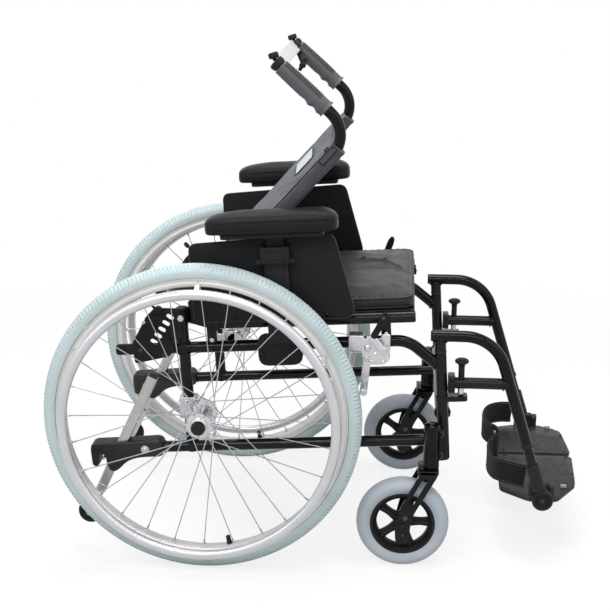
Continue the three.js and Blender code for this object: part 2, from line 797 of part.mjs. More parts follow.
function caster(name, side) {
  const y = side * casterPlane;
  const radius = casterDiameter / 2;
  const axleX = casterStem.x - casterTrail;
  const swivel = new Assembly(base, new THREE.Vector3(casterStem.x, y, housingBottom));
  const wheel = new Assembly(swivel, new THREE.Vector3(axleX, y, radius));
  const legPlane = casterTyreWidth / 2 + forkLegGap + forkLegThickness / 2;
  const knee = [axleX + forkKneeBack, radius + forkKneeRise];
  const crownSeat = [casterStem.x - forkSlotWidth / 2, forkCrownHeight];
  const legs = [-1, 1].map((flank) => {
    const plane = y + flank * legPlane;
    const upper = sidePlate(barOutline(knee, crownSeat, forkLegWidth), forkLegThickness, plane);
    const lower = sidePlate(
      barOutline([axleX, radius - forkLegTail + forkLegWidth / 2], knee, forkLegWidth),
      forkLegThickness, plane);
    const onLeg = (share) => [
      THREE.MathUtils.lerp(knee[0], crownSeat[0], share),
      THREE.MathUtils.lerp(knee[1], crownSeat[1], share)];
    const slotShape = barOutline(onLeg(1 / 6), onLeg(5 / 6), forkSlotWidth);
    const slot = sidePlate(slotShape, forkLegThickness + cutOverrun, plane);
    return cut(joined(upper, lower), slot);
  });
  const crownLength = forkLegWidth + forkSlotWidth;
  const crown = block(crownLength, 2 * legPlane + forkLegThickness, forkCrownThickness,
    crownSeat[0], y, forkCrownHeight + forkCrownThickness / 2);
  const tooHigh = block(2 * crownLength, 2 * casterPlane, forkLegWidth,
    crownSeat[0], y, forkCrownHeight + forkCrownThickness + forkLegWidth / 2);
  const stem = rod(
    new THREE.Vector3(casterStem.x, y, forkCrownHeight),
    new THREE.Vector3(casterStem.x, y, housingBottom + stemLength), stemDiameter, boltSides);
  const axle = crossRod(axleX, radius, y - legPlane, y + legPlane, casterAxleDiameter, boltSides);
  const fork = joined(cut(joined(...legs, crown), tooHigh), stem, axle);
  swivel.add(`${name}_caster_fork`, fork, ...blackPaint);

  const rimRadius = casterRimDiameter / 2;
  const half = casterTyreWidth / 2;
  const shoulder = (radius - rimRadius) / 3;
  const tread = turned(closedProfile([
    [rimRadius, -casterRimWidth / 2], [rimRadius + shoulder, -half], [radius - shoulder, -half + seatGap],
    [radius, -half / 2], [radius, half / 2], [radius - shoulder, half - seatGap],
    [rimRadius + shoulder, half], [rimRadius, casterRimWidth / 2]]), casterSides, 1);
  wheel.add(`${name}_caster_tyre`, tread.translate([axleX, y, radius]), ...casterRubber);

  const ringHalf = casterRimWidth / 2;
  const ring = turned(closedProfile([
    [casterRimInner / 2, -ringHalf], [rimRadius - seatGap, -ringHalf],
    [rimRadius - seatGap, ringHalf], [casterRimInner / 2, ringHalf]]), casterSides, 1);
  const hubHalf = half + forkLegGap - seatGap;
  const hub = crossRod(0, 0, -hubHalf, hubHalf, casterHubDiameter, smallSides);
  const arms = [];
  const armLength = (casterRimInner + casterRimDiameter) / 4;
  for (let index = 0; index < casterSpokeCount; index += 1) {
    const arm = block(armLength, casterSpokeDepth, casterSpokeWidth, armLength / 2, 0, 0);
    arms.push(arm.rotate([0, 360 * index / casterSpokeCount, 0]));
  }
  const bore = crossRod(0, 0, -hubHalf - cutOverrun, hubHalf + cutOverrun,
    casterAxleDiameter + 2 * runningGap, boltSides);
  const core = cut(joined(ring, hub, ...arms), bore);
  wheel.add(`${name}_caster_wheel`, core.translate([axleX, y, radius]), ...blackPlastic);
}

// Wheel lock: a plate clamped to the upper rail, a hand lever and the arm it drives
function wheelLock(name, side) {
  const rail = framePoint(brakePlateAlong, railSpacing, 0);
  const plateFace = framePlane + tubeRadius + brakeClampWall;
  const platePlane = plateFace + brakePlateThickness / 2;
  const plateMiddleZ = rail.z - brakePlateHeight / 8;
  const plate = sidePlate(outline([
    [rail.x - brakePlateWidth / 2, rail.z + brakePlateHeight / 4],
    [rail.x - brakePlateWidth / 2, rail.z - brakePlateHeight / 4],
    [rail.x, plateMiddleZ - brakePlateHeight / 2],
    [rail.x + brakePlateWidth / 2, plateMiddleZ - brakePlateHeight / 2],
    [rail.x + brakePlateWidth / 2, plateMiddleZ + brakePlateHeight / 2],
    [rail.x, plateMiddleZ + brakePlateHeight / 2]], brakeClampWall),
  brakePlateThickness, side * platePlane);
  const clampX = rail.x - brakePlateWidth / 2 + brakeClampWidth / 2;
  const clampInner = framePlane - tubeRadius - brakeClampWall;
  const clampOuter = platePlane;
  const clamp = block(brakeClampWidth, clampOuter - clampInner, tubeDiameter + 2 * brakeClampWall,
    clampX, side * (clampOuter + clampInner) / 2,
    rail.z + (clampX - rail.x) * Math.tan(framePitch));
  const railBore = frameRod(0, railSpacing, upperRailCorner, railSpacing, side * framePlane,
    tubeDiameter + 2 * seatGap);

  const leverX = rail.x + brakePlateWidth * 3 / 8;
  const leverZ = rail.z - brakePlateThickness;
  const armX = rail.x - brakePlateThickness;
  const armZ = plateMiddleZ - brakePlateHeight / 2 + brakeArmWidth / 2;
  const armPlane = plateFace + brakePlateThickness + brakeLayerGap + brakeArmThickness / 2;
  const leverPlane = guardOffset + guardThickness / 2 + runningGap + brakeLeverThickness / 2;
  const pinOuter = leverPlane + brakeLeverThickness / 2;
  const leverPin = crossRod(leverX, leverZ, side * plateFace, side * pinOuter,
    brakePinDiameter, boltSides);
  const armPin = crossRod(armX, armZ, side * plateFace, side * (armPlane + brakeArmThickness / 2),
    brakePinDiameter, boltSides);
  const bracket = joined(cut(joined(plate, clamp), railBore), leverPin, armPin);
  base.add(`${name}_brake_plate`, bracket, ...castAlloy);

  const lever = new Assembly(base, new THREE.Vector3(leverX, side * leverPlane, leverZ));
  const pinBore = boreFor(brakePinDiameter, runningGap / 2, boltSides);
  const pinHole = crossRod(leverX, leverZ, side * (leverPlane - brakeLeverThickness),
    side * (leverPlane + brakeLeverThickness), pinBore, boltSides);
  const lowShape = barOutline([leverX, leverZ], [rail.x, rail.z + brakePlateHeight / 3], brakeLeverWidth);
  const handShape = barOutline([rail.x, rail.z + brakePlateHeight / 3],
    [leverX, leverZ + brakeLeverReach - brakeLeverWidth / 2], brakeLeverWidth);
  const leverBody = joined(
    sidePlate(lowShape, brakeLeverThickness, side * leverPlane),
    sidePlate(handShape, brakeLeverThickness, side * leverPlane));
  lever.add(`${name}_brake_lever`, cut(leverBody, pinHole), ...blackPlastic);

  const shoe = new Assembly(base, new THREE.Vector3(armX, side * armPlane, armZ));
  const wheelReach = wheelDiameter / 2 + brakeRollerDiameter / 2 + runningGap;
  const drop = armZ - brakeArmLength;
  const rollerX = Math.sqrt(wheelReach ** 2 - (drop - axleHeight) ** 2);
  const arm = sidePlate(barOutline([armX, armZ], [rollerX, drop], brakeArmWidth),
    brakeArmThickness, side * armPlane);
  const armHole = crossRod(armX, armZ, side * (armPlane - brakeArmThickness),
    side * (armPlane + brakeArmThickness), pinBore, boltSides);
  const roller = crossRod(rollerX, drop, side * (armPlane - brakeArmThickness / 2),
    side * (armPlane + brakeRollerLength), brakeRollerDiameter);
  shoe.add(`${name}_brake_shoe`, joined(cut(arm, armHole), roller), ...castAlloy);
}

// Footrest hanger: a bent tube on a pin in the upright's head, its hook bar and the hinge disc
const hangerDrop = THREE.MathUtils.degToRad(hangerDropDegrees);
const hangerPoint = (reach) => [
  frontHead.x + hangerCorner + reach * Math.cos(hangerDrop),
  frontHead.z + hangerRise - reach * Math.sin(hangerDrop)];
const hangerFoot = hangerPoint(hangerReach);
const footplateTop = hangerFoot[1] + footplateRise;
const footHingeHeight = hangerFoot[1] + footHingeRise;

function hanger(side, plane) {
  const at = ([x, z]) => new THREE.Vector3(x, plane, z);
  const top = frontHead.z + hangerRise;
  const mainTube = bentTube(
    [at([frontHead.x - hangerTail, top]), at(hangerPoint(0)), at(hangerPoint(hangerLength))], hangerBend);
  const extension = rod(at(hangerPoint(hangerLength - weldDepth)), at(hangerFoot),
    extensionDiameter);
  const sleeve = rod(at(hangerPoint(hangerSleeveStart)),
    at(hangerPoint(hangerSleeveStart + hangerSleeveLength)), hangerSleeveDiameter);
  const neck = rod(framePoint(frontUprightAlong, frontUprightHead + seatGap, plane),
    framePoint(frontUprightAlong, frontUprightHead + hangerRise, plane), tubeDiameter);
  const pin = frameRod(frontUprightAlong, frontUprightHead - hangerPinLength,
    frontUprightAlong, frontUprightHead + weldDepth, plane, hangerPinDiameter);
  const barHeight = top - hangerRise - hangerBarDrop;
  const barRear = framePoint(frontUprightAlong, frontUprightHead - hangerBarDrop, plane);
  const barReach = (hangerRise + hangerBarDrop) / Math.sin(hangerDrop);
  const bar = rod(new THREE.Vector3(barRear.x, plane, barHeight), at(hangerPoint(barReach)), tubeDiameter);
  const hook = block(hangerHookDepth, tubeDiameter + hangerHookDepth, tubeDiameter + hangerHookDepth,
    barRear.x + tubeRadius + hangerHookDepth / 4, plane, barHeight);
  const uprightClear = frameRod(frontUprightAlong, 0, frontUprightAlong, frontUprightHead + seatGap,
    plane, boreFor(tubeDiameter, runningGap));
  const stemHole = rod(
    new THREE.Vector3(frontHead.x + latchForward, plane, barHeight - tubeDiameter),
    new THREE.Vector3(frontHead.x + latchForward, plane, barHeight + tubeDiameter),
    boreFor(latchStemDiameter, runningGap / 2));
  const disc = crossRod(hangerFoot[0], hangerFoot[1], side * (footplateOuter + runningGap),
    side * (framePlane + pivotDiscWidth / 2), pivotDiscDiameter, smallSides);
  const lugInner = (footHingeOffset - footLugDepth / 2 - footplateFold) / (footplateOuter - footplateFold);
  const lugBottom = footplateTop - footplateDrop * lugInner + runningGap;
  const lugTop = footHingeHeight + footEarDiameter / 2;
  const lug = block(footLugWidth, footLugDepth + weldDepth, lugTop - lugBottom,
    hangerFoot[0], side * (footHingeOffset + weldDepth / 2), (lugTop + lugBottom) / 2);
  const hingePinHalf = footLugWidth / 2 + footEarThickness;
  const hingePin = rod(
    new THREE.Vector3(hangerFoot[0] - hingePinHalf, side * footHingeOffset, footHingeHeight),
    new THREE.Vector3(hangerFoot[0] + hingePinHalf, side * footHingeOffset, footHingeHeight),
    footHingeDiameter, boltSides);
  const welded = joined(mainTube, neck, bar, hook);
  return joined(cut(welded, uprightClear, stemHole), pin, extension, sleeve, disc, lug, hingePin);
}

// Spring latch knob standing in the hook bar, above the tab on the upright
function latchKnob(plane) {
  const tabTop = framePoint(frontUprightAlong - latchTabRear + latchTabLength, latchTabUp, 0);
  const x = frontHead.x + latchForward;
  const tip = tabTop.z + seatGap;
  const barTop = frontHead.z - hangerBarDrop + tubeRadius;
  const head = barTop + latchStemRise - tubeRadius;
  const stem = rod(new THREE.Vector3(x, plane, tip), new THREE.Vector3(x, plane, head), latchStemDiameter);
  const cap = rod(new THREE.Vector3(x, plane, head - weldDepth),
    new THREE.Vector3(x, plane, head + latchKnobHeight), latchKnobDiameter, smallSides);
  return joined(stem, cap);
}

const footplateShares = [[0, 0], [0.96, 0], [1, 0.04], [0.95, 0.72], [0.7, 1], [0.33, 1], [0, 0.82]];
const footplateCorner = 8;

function footplate(side) {
  const rear = hangerFoot[0] - footplateLength / 2;
  const bottom = footplateTop - footplateThickness;
  const profile = new THREE.Shape([
    [footplateInner, footplateTop], [footplateFold, footplateTop],
    [footplateOuter, footplateTop - footplateDrop], [footplateOuter, bottom - footplateDrop],
    [footplateFold, bottom], [footplateInner, bottom],
  ].map(([across, up]) => new THREE.Vector2(side * across, up)));
  const slab = frontPlate(profile, footplateLength + 2 * cutOverrun, rear - cutOverrun);
  const plan = outline(footplateShares.map(([along, across]) => [
    rear + along * footplateLength,
    side * THREE.MathUtils.lerp(footplateInner, footplateOuter, across)]), footplateCorner);
  const prism = flatPlate(plan, footplateTop, 0);
  const ears = [-1, 1].map((end) => {
    const inner = hangerFoot[0] + end * (footLugWidth / 2 + seatGap);
    const outer = inner + end * footEarThickness;
    const ear = rod(
      new THREE.Vector3(inner, side * footHingeOffset, footHingeHeight),
      new THREE.Vector3(outer, side * footHingeOffset, footHingeHeight), footEarDiameter);
    const stand = block(footEarThickness, footLugDepth,
      footHingeHeight - bottom + footplateDrop,
      (inner + outer) / 2, side * footHingeOffset,
      (footHingeHeight + bottom - footplateDrop) / 2);
    const hole = rod(
      new THREE.Vector3(inner - end * cutOverrun, side * footHingeOffset, footHingeHeight),
      new THREE.Vector3(outer + end * cutOverrun, side * footHingeOffset, footHingeHeight),
      boreFor(footHingeDiameter, runningGap / 2, boltSides), boltSides);
    return cut(joined(ear, stand), hole);
  });
  return joined(slab.intersect(prism), ...ears);
}

// Webbing loop behind the heel, from the footplate's inner rear corner forward to the sleeve,
// as shares of its own box
const heelLoopShares = [[0.38, 0], [0.07, 0.24], [0, 0.51], [0.16, 0.79], [0.56, 0.94], [1, 1]];
const loopStepCount = 10;

function heelLoop(side) {
  const back = hangerFoot[0] - footplateLength / 2 - heelLoopBack;
  const course = new THREE.SplineCurve(heelLoopShares.map(([along, across]) => new THREE.Vector2(
    back + along * heelLoopLength,
    side * THREE.MathUtils.lerp(heelLoopInner, heelLoopOuter, across))));
  const edge = (offset) => course.getPoints(loopStepCount).map((point, index) => {
    const heading = course.getTangent(index / loopStepCount);
    return new THREE.Vector2(point.x - heading.y * offset, point.y + heading.x * offset);
  });
  const shape = new THREE.Shape([
    ...edge(heelLoopThickness / 2), ...edge(-heelLoopThickness / 2).reverse()]);
  return flatPlate(shape, heelLoopHeight, footplateTop + seatGap);
}

function footrest(name, side) {
  const plane = side * framePlane;
  const swing = new Assembly(base, new THREE.Vector3(frontHead.x, plane, frontHead.z));
  swing.add(`${name}_hanger`, hanger(side, plane), ...blackPaint);
  const latch = new Assembly(swing, new THREE.Vector3(frontHead.x + latchForward, plane, frontHead.z));
  latch.add(`${name}_latch_knob`, latchKnob(plane), ...blackPlastic);
  const hinge = new THREE.Vector3(hangerFoot[0], side * footHingeOffset, footHingeHeight);
  const flip = new Assembly(swing, hinge);
  flip.add(`${name}_footplate`, footplate(side), ...greyPlastic);
  flip.add(`${name}_heel_loop`, heelLoop(side), ...webbing);
}

// Anti-tipper: a plug on the lower rail's tail that guides a sliding bar with a small wheel
const antitipLean = THREE.MathUtils.degToRad(antitipLeanDegrees);
const antitipPoint = (reach) => [
  uprightX - antitipTopBack - reach * Math.cos(antitipLean),
  lowerRailHeight + antitipTopRise - reach * Math.sin(antitipLean)];
const antitipWheelReach = antitipBarLength + antitipWheelDrop;

function antitipShaft(size, from, to, plane) {
  const [x, z] = antitipPoint((from + to) / 2);
  return block(to - from, size, size, 0, 0, 0)
    .rotate([0, -antitipLeanDegrees, 0]).translate([x, plane, z]);
}

function antitip(name, side) {
  const plane = side * framePlane;
  const bracketMiddle = antitipBracketRear + antitipBracketLength / 2;
  const rail = frameRod(-lowerRailTail - seatGap, 0, frontUprightAlong, 0, plane,
    tubeDiameter + 2 * seatGap);
  const shell = pitched(block(antitipBracketLength, antitipBracketWidth, antitipBracketHeight,
    bracketMiddle, plane, 0));
  const guide = antitipShaft(antitipBarSize + runningGap, 0, antitipBarLength, plane);
  const plug = framePoint(-lowerRailTail - boltHeadDiameter, 0, 0);
  const head = boltHead(side, plug.x, plug.z, framePlane + antitipBracketWidth / 2);
  base.add(`${name}_antitip_bracket`, joined(cut(shell, rail, guide), head), ...blackPlastic);

  const [topX, topZ] = antitipPoint(0);
  const slide = new Assembly(base, new THREE.Vector3(topX, plane, topZ));
  const forkPlane = (antitipWheelWidth + antitipForkThickness) / 2 + runningGap;
  const forkFrom = antitipPoint(antitipBarLength - antitipForkLap);
  const forkTo = antitipPoint(antitipWheelReach);
  const cheeks = [-1, 1].map((flank) => sidePlate(
    barOutline(forkFrom, forkTo, antitipBarSize * 3 / 4), antitipForkThickness, plane + flank * forkPlane));
  const bridge = antitipShaft(antitipBarSize * 3 / 4, antitipBarLength - antitipForkLap,
    antitipBarLength - weldDepth, plane);
  const widened = bridge.translate([0, -plane, 0]).scale([1, 2 * forkPlane / (antitipBarSize * 3 / 4), 1])
    .translate([0, plane, 0]);
  const axle = crossRod(forkTo[0], forkTo[1], plane - forkPlane, plane + forkPlane,
    antitipAxleDiameter, boltSides);
  const bar = joined(antitipShaft(antitipBarSize, 0, antitipBarLength - antitipForkLap / 2, plane),
    widened, ...cheeks, axle);
  slide.add(`${name}_antitip_bar`, bar, ...silver);

  const roll = new Assembly(slide, new THREE.Vector3(forkTo[0], plane, forkTo[1]));
  const bore = (antitipAxleDiameter + runningGap) / 2;
  const radius = antitipWheelDiameter / 2;
  const half = antitipWheelWidth / 2;
  const wheel = turned(closedProfile([
    [bore, -half], [radius - antitipForkThickness, -half], [radius, -half / 2], [radius, half / 2],
    [radius - antitipForkThickness, half], [bore, half]]), 2 * boltSides, 1);
  roll.add(`${name}_antitip_wheel`, wheel.translate([forkTo[0], plane, forkTo[1]]), ...blackPlastic);
}

// Tilt lock lever, turning on a pin in the slotted plate
function tiltLock(name, side) {
  const plane = side * (framePlane + tubeRadius - weldDepth / 2 + tiltPlateThickness
    + seatGap + lockBlockThickness / 2);
  const at = ([along, up]) => [lockAlong + along, lockUp + up];
  const pivot = framePoint(lockAlong, lockUp, plane);
  const turn = new Assembly(base, pivot);
  const body = sidePlate(barOutline(at(lockBlockBack), at(lockBlockFront), lockBlockWidth),
    lockBlockThickness, plane);
  const place = ([along, up]) => new THREE.Vector3(lockAlong + along, plane, lockUp + up);
  const pin = rod(place(lockBlockBack), place(lockPinReach), lockPinDiameter, boltSides);
  const lever = rod(place(lockLeverRoot), place(lockLeverReach), lockLeverDiameter, boltSides);
  const pivotPin = crossRod(lockAlong, lockUp, plane, plane - side * (lockBlockThickness / 2
    + seatGap + tiltPlateThickness), lockPinDiameter, boltSides);
  turn.add(`${name}_tilt_lock`, pitched(joined(body, pin, lever, pivotPin)), ...blackPlastic);
}

// Seat frame: two rails, two cross tubes, the pan, the tilt lugs and the hinge forks of the backrest
const seatUnit = new Assembly(base, tiltPivot);
seatUnit.group.rotation.y = -framePitch;
const foldHinge = new THREE.Vector3(foldHingeX, 0, foldHingeHeight);
const guardStudPlaces = [seatCrossRear, guardFront - guardSlant - guardStudInset];

function seatFrame() {
  const forkFrontX = seatRailRear + foldForkWidth / 2;
  const rails = [-1, 1].map((side) => rod(
    new THREE.Vector3(seatRailRear, side * seatRailPlane, seatRailHeight),
    new THREE.Vector3(seatRailFront, side * seatRailPlane, seatRailHeight), tubeDiameter));
  const crossing = [seatCrossRear, seatCrossFront].map((x) => crossRod(
    x, seatRailHeight, -seatRailPlane, seatRailPlane, tubeDiameter));
  const pan = block(seatRailFront - seatRailRear, seatRailTrack, seatPanThickness,
    (seatRailFront + seatRailRear) / 2, 0, seatPanTop - seatPanThickness / 2);
  const lugs = [-1, 1].flatMap((side) => {
    const inner = seatRailPlane - tubeRadius - runningGap - foldForkThickness / 2;
    const outer = seatRailPlane + tubeRadius + runningGap + foldForkThickness / 2;
    const forkPlates = [inner, outer].map((offset) => sidePlate(
      barOutline([foldHingeX, foldHingeHeight], [forkFrontX, seatRailHeight], foldForkWidth),
      foldForkThickness, side * offset));
    const spacer = block(foldForkWidth, outer - inner, foldForkThickness,
      forkFrontX, side * seatRailPlane, seatRailHeight + foldForkThickness);
    const tiltLug = sidePlate(
      barOutline([tiltPivot.x, tiltPivot.z], [seatRailRear, seatRailHeight], seatLugWidth),
      seatLugThickness, side * (inner - foldForkThickness / 2 - seatLugThickness / 2 + weldDepth / 2));
    const tiltBolt = crossRod(tiltPivot.x, tiltPivot.z, side * (inner - foldForkThickness),
      side * (framePlane + tubeRadius), tiltBoltDiameter, boltSides);
    const foldPin = crossRod(foldHingeX, foldHingeHeight, side * inner, side * outer,
      foldPinDiameter, boltSides);
    return [...forkPlates, spacer, tiltLug, tiltBolt, foldPin];
  });
  const risers = [-1, 1].flatMap((side) => guardStudPlaces.map((x) => block(
    seatRiserWidth, seatRiserDepth, seatRiserHeight,
    x, side * seatRailPlane, seatRailHeight + seatRiserHeight / 2)));
  return joined(...rails, ...crossing, pan, ...risers, ...lugs);
}

// A soft block: rounded corners in plan, sides drawn in at top and bottom, a crowned top
function softBlock(size, cells, corner, draw, crown, topShape) {
  const [length, width, height] = size;
  const geometry = new THREE.BoxGeometry(length, width, height, ...cells);
  const places = geometry.attributes.position;
  for (let index = 0; index < places.count; index += 1) {
    const point = new THREE.Vector3().fromBufferAttribute(places, index);
    const overX = Math.abs(point.x) - (length / 2 - corner);
    const overY = Math.abs(point.y) - (width / 2 - corner);
    if (overX > 0 && overY > 0) {
      const scale = Math.max(overX, overY) / Math.hypot(overX, overY);
      point.x = Math.sign(point.x) * (length / 2 - corner + overX * scale);
      point.y = Math.sign(point.y) * (width / 2 - corner + overY * scale);
    }
    const level = 2 * point.z / height;
    const inset = draw * level ** 2;
    const across = 2 * point.x / length;
    const along = 2 * point.y / width;
    point.x *= 1 - 2 * inset / length;
    point.y *= 1 - 2 * inset / width;
    if (level > 0) {
      const swell = crown * (1 - across ** 4) * (1 - along ** 4);
      point.z += level * (swell + topShape(across, along));
    }
    places.setXYZ(index, point.x, point.y, point.z);
  }
  return solid(geometry);
}

const cushionCellCounts = [8, 14, 3];

function seatCushion() {
  const length = cushionFront - cushionRear;
  const crease = (across, along) => -cushionCreaseDepth
    * Math.exp(-((along * cushionWidth / 2 / cushionCreaseWidth) ** 2)) * (1 - across ** 4);
  const body = softBlock([length, cushionWidth, cushionEdge], cushionCellCounts,
    cushionCornerRadius, cushionDraw, cushionCrown, crease);
  return body.translate([(cushionRear + cushionFront) / 2, 0, cushionBottom + cushionEdge / 2]);
}

// Skirt guard: a thin panel beside the seat, slanted at the front
function skirtGuard(side) {
  const panel = sidePlate(outline([
    [guardRear, guardTop - guardRearDrop], [guardRear, guardBottom],
    [guardFront, guardBottom], [guardFront - guardSlant, guardTop],
  ], guardCorner), guardThickness, side * guardOffset);
  const studFrom = seatRailPlane + seatRiserDepth / 2 + seatGap;
  const studHeight = guardBottom + guardStudDiameter / 2 + guardThickness / 2;
  const studs = guardStudPlaces.map((x) => crossRod(
    x, studHeight, side * studFrom, side * guardOffset, guardStudDiameter, boltSides));
  return joined(panel, ...studs);
}

// Armrest: receiver and post on the seat unit, stem and carrier that slide in it, and the pad
const armInner = guardOffset + guardThickness / 2 + seatGap;
const armPostPlane = armInner + armPostDepth / 2;
const armPostTop = seatRailHeight + armPostRise;
const armReceiverBottom = seatRailHeight - armReceiverDrop;
const carrierTop = seatRailHeight + armPadRise - armPadCrown - armPadHeight - seatGap;

function armPost(side) {
  const rear = armPostX - armReceiverBack;
  const front = rear + armReceiverWidth;
  const receiverTop = armReceiverBottom + armReceiverHeight;
  const receiver = sidePlate(outline([
    [rear, receiverTop], [rear, armReceiverBottom], [front, armReceiverBottom], [front, receiverTop],
  ], armReceiverCorner), armReceiverThickness, side * (armInner + armReceiverThickness / 2));
  const postBottom = receiverTop - armReceiverCorner;
  const post = block(armPostWidth, armPostDepth, armPostTop - postBottom,
    armPostX, side * armPostPlane, (armPostTop + postBottom) / 2);
  const collar = block(armCollarWidth, armCollarDepth, armCollarHeight,
    armPostX, side * (armInner + armCollarDepth / 2), armPostTop);
  const tunnelFloor = carrierTop - armCarrierThickness - armStemEngagement - runningGap;
  const tunnel = block(armStemWidth + runningGap, armStemDepth + runningGap, armPostTop,
    armPostX, side * armPostPlane, tunnelFloor + armPostTop / 2);
  const tie = crossRod(armPostX, seatRailHeight, side * (seatRailPlane + tubeRadius + seatGap),
    side * (armInner + weldDepth), guardStudDiameter, boltSides);
  const boltX = rear + armBoltDiameter / 2;
  const boltZ = armReceiverBottom + armReceiverHeight / 3;
  const boltFrom = armInner + armReceiverThickness / 2;
  const bolt = crossRod(boltX, boltZ, side * boltFrom,
    side * (armInner + armReceiverThickness + armBoltHeight), armBoltDiameter);
  return joined(cut(joined(receiver, post, collar), tunnel), tie, bolt);
}

function armrest(side) {
  const carrierX = armPadRear + armPadLength / 2;
  const carrier = block(armCarrierLength, armCarrierWidth, armCarrierThickness,
    carrierX, side * armOffset, carrierTop - armCarrierThickness / 2);
  const stemHeight = armStemEngagement + armCarrierThickness;
  const stem = block(armStemWidth, armStemDepth, stemHeight,
    armPostX, side * armPostPlane, carrierTop - stemHeight / 2);
  return joined(carrier, stem);
}

function armPad(side) {
  const pad = softBlock([armPadLength, armPadWidth, armPadHeight], [6, 5, 3],
    armPadCorner, armPadDraw, armPadCrown, () => 0);
  return pad.translate([
    armPadRear + armPadLength / 2, side * armOffset, carrierTop + seatGap + armPadHeight / 2]);
}

function seatSide(name, side) {
  seatUnit.add(`${name}_skirt_guard`, skirtGuard(side), ...blackPlastic);
  seatUnit.add(`${name}_arm_post`, armPost(side), ...blackPlastic);
  const slide = new Assembly(seatUnit, new THREE.Vector3(armPostX, side * armPostPlane, carrierTop));
  slide.add(`${name}_armrest`, armrest(side), ...blackPlastic);
  slide.add(`${name}_arm_pad`, armPad(side), ...blackPlastic);
}

// Backrest: canes with handles, upholstery sleeved over them, grips and the stiffening bar
const caneAt = (side, x, z) => new THREE.Vector3(
  foldHingeX + x, side * seatRailPlane, foldHingeHeight + z);

function caneTube(side, diameter, foot, reach) {
  return bentTube(
    [caneAt(side, 0, -foot), caneAt(side, 0, caneHeight), caneAt(side, -reach, caneHeight)],
    caneBend, diameter);
}

function backCane(side) {
  const hole = crossRod(foldHingeX, foldHingeHeight, side * (seatRailPlane - tubeDiameter),
    side * (seatRailPlane + tubeDiameter), boreFor(foldPinDiameter, runningGap / 2, boltSides), boltSides);
  return cut(caneTube(side, tubeDiameter, caneFoot, handleReach), hole);
}

function backUpholstery() {
  const height = upholsteryTop - upholsteryBottom;
  const geometry = new THREE.BoxGeometry(upholsteryDepth, upholsteryWidth, height, 2, 14, 6);
  const places = geometry.attributes.position;
  const panelHalf = seatRailPlane - upholsteryDepth / 2;
  for (let index = 0; index < places.count; index += 1) {
    const point = new THREE.Vector3().fromBufferAttribute(places, index);
    const across = Math.min(Math.abs(point.y) / panelHalf, 1);
    const edge = 2 * point.x / upholsteryDepth;
    const sag = upholsterySag * (1 - across ** 2);
    const overSleeve = Math.max(Math.abs(point.y) - panelHalf, 0) / (upholsteryWidth / 2 - panelHalf);
    const rounded = 1 - sleeveRoundShare * overSleeve ** 4;
    point.x = edge * (upholsteryDepth / 2) * rounded * (1 - panelThinShare * (1 - across ** 2)) - sag;
    places.setXYZ(index, point.x, point.y, point.z);
  }
  const slab = solid(geometry.translate(
    foldHingeX, 0, foldHingeHeight + (upholsteryTop + upholsteryBottom) / 2));
  const channels = [-1, 1].map((side) =>
    caneTube(side, tubeDiameter + 2 * runningGap, caneFoot, handleReach));
  return cut(slab, ...channels);
}

// The grip is turned about the handle: collars at both ends and a swell for the hand
function grip(side) {
  const inner = boreFor(tubeDiameter, seatGap) / 2;
  const outer = gripDiameter / 2;
  const profile = [
    [inner, 0], [outer + gripSwell, 0], [outer + gripSwell, gripLength / 12], [outer, gripLength / 6],
    [outer, gripLength * 2 / 3], [outer + gripSwell, gripLength * 3 / 4], [outer, gripLength * 5 / 6],
    [outer, gripLength], [inner, gripLength]];
  const start = caneAt(side, -gripStart, caneHeight);
  return turned(closedProfile(profile), smallSides, 1).rotate([0, 0, 90])
    .translate([start.x, start.y, start.z]);
}

function stiffeningBar() {
  const clampX = -gripStart - gripLength - seatGap - stiffClampWidth;
  const barPlace = caneAt(0, clampX + stiffClampWidth / 2, caneHeight + stiffBarRise);
  const clampFace = seatRailPlane - tubeRadius - seatGap;
  const bar = crossRod(barPlace.x, barPlace.z, -clampFace, clampFace, stiffBarDiameter);
  const clamps = [-1, 1].map((side) => rod(
    caneAt(side, clampX, caneHeight), caneAt(side, clampX + stiffClampWidth, caneHeight),
    stiffClampDiameter, smallSides));
  const bores = [-1, 1].map((side) => rod(
    caneAt(side, -handleReach - seatGap, caneHeight),
    caneAt(side, clampX + stiffClampWidth + cutOverrun, caneHeight),
    boreFor(tubeDiameter, seatGap)));
  return cut(joined(bar, ...clamps), ...bores);
}

// The chair, piece by piece
base.add('middle_cross_tube', crossTube(midCrossAlong, railSpacing + crossTubeRise), ...blackPaint);
base.add('front_cross_tube', crossTube(frontUprightAlong, frontCrossUp), ...blackPaint);
seatUnit.add('seat_frame', seatFrame(), ...blackPaint);
seatUnit.add('seat_cushion', seatCushion(), ...darkCloth);
const backrest = new Assembly(seatUnit, foldHinge);
backrest.group.rotation.y = THREE.MathUtils.degToRad(foldedDegrees);
backrest.add('back_upholstery', backUpholstery(), ...greyCloth);
backrest.add('stiffening_bar', stiffeningBar(), ...silver);
for (const [name, side] of sides) {
  base.add(`${name}_side_frame`, sideFrame(side), ...blackPaint);
  base.add(`${name}_axle_bracket`, axleBracket(side), ...castAlloy);
  base.add(`${name}_caster_housing`, casterHousing(side), ...blackPaint);
  rearWheel(name, side);
  caster(name, side);
  wheelLock(name, side);
  footrest(name, side);
  antitip(name, side);
  tiltLock(name, side);
  seatSide(name, side);
  backrest.add(`${name}_back_cane`, backCane(side), ...blackPaint);
  backrest.add(`${name}_grip`, grip(side), ...gripRubber);
}

// The origin lies on the floor, under the middle of the whole chair
const chair = new THREE.Group();
chair.add(base.group);
const reach = new THREE.Box3().setFromObject(chair, true);
const centre = reach.getCenter(new THREE.Vector3());
base.group.position.set(-centre.x, -centre.y, -reach.min.z);

export default chair;
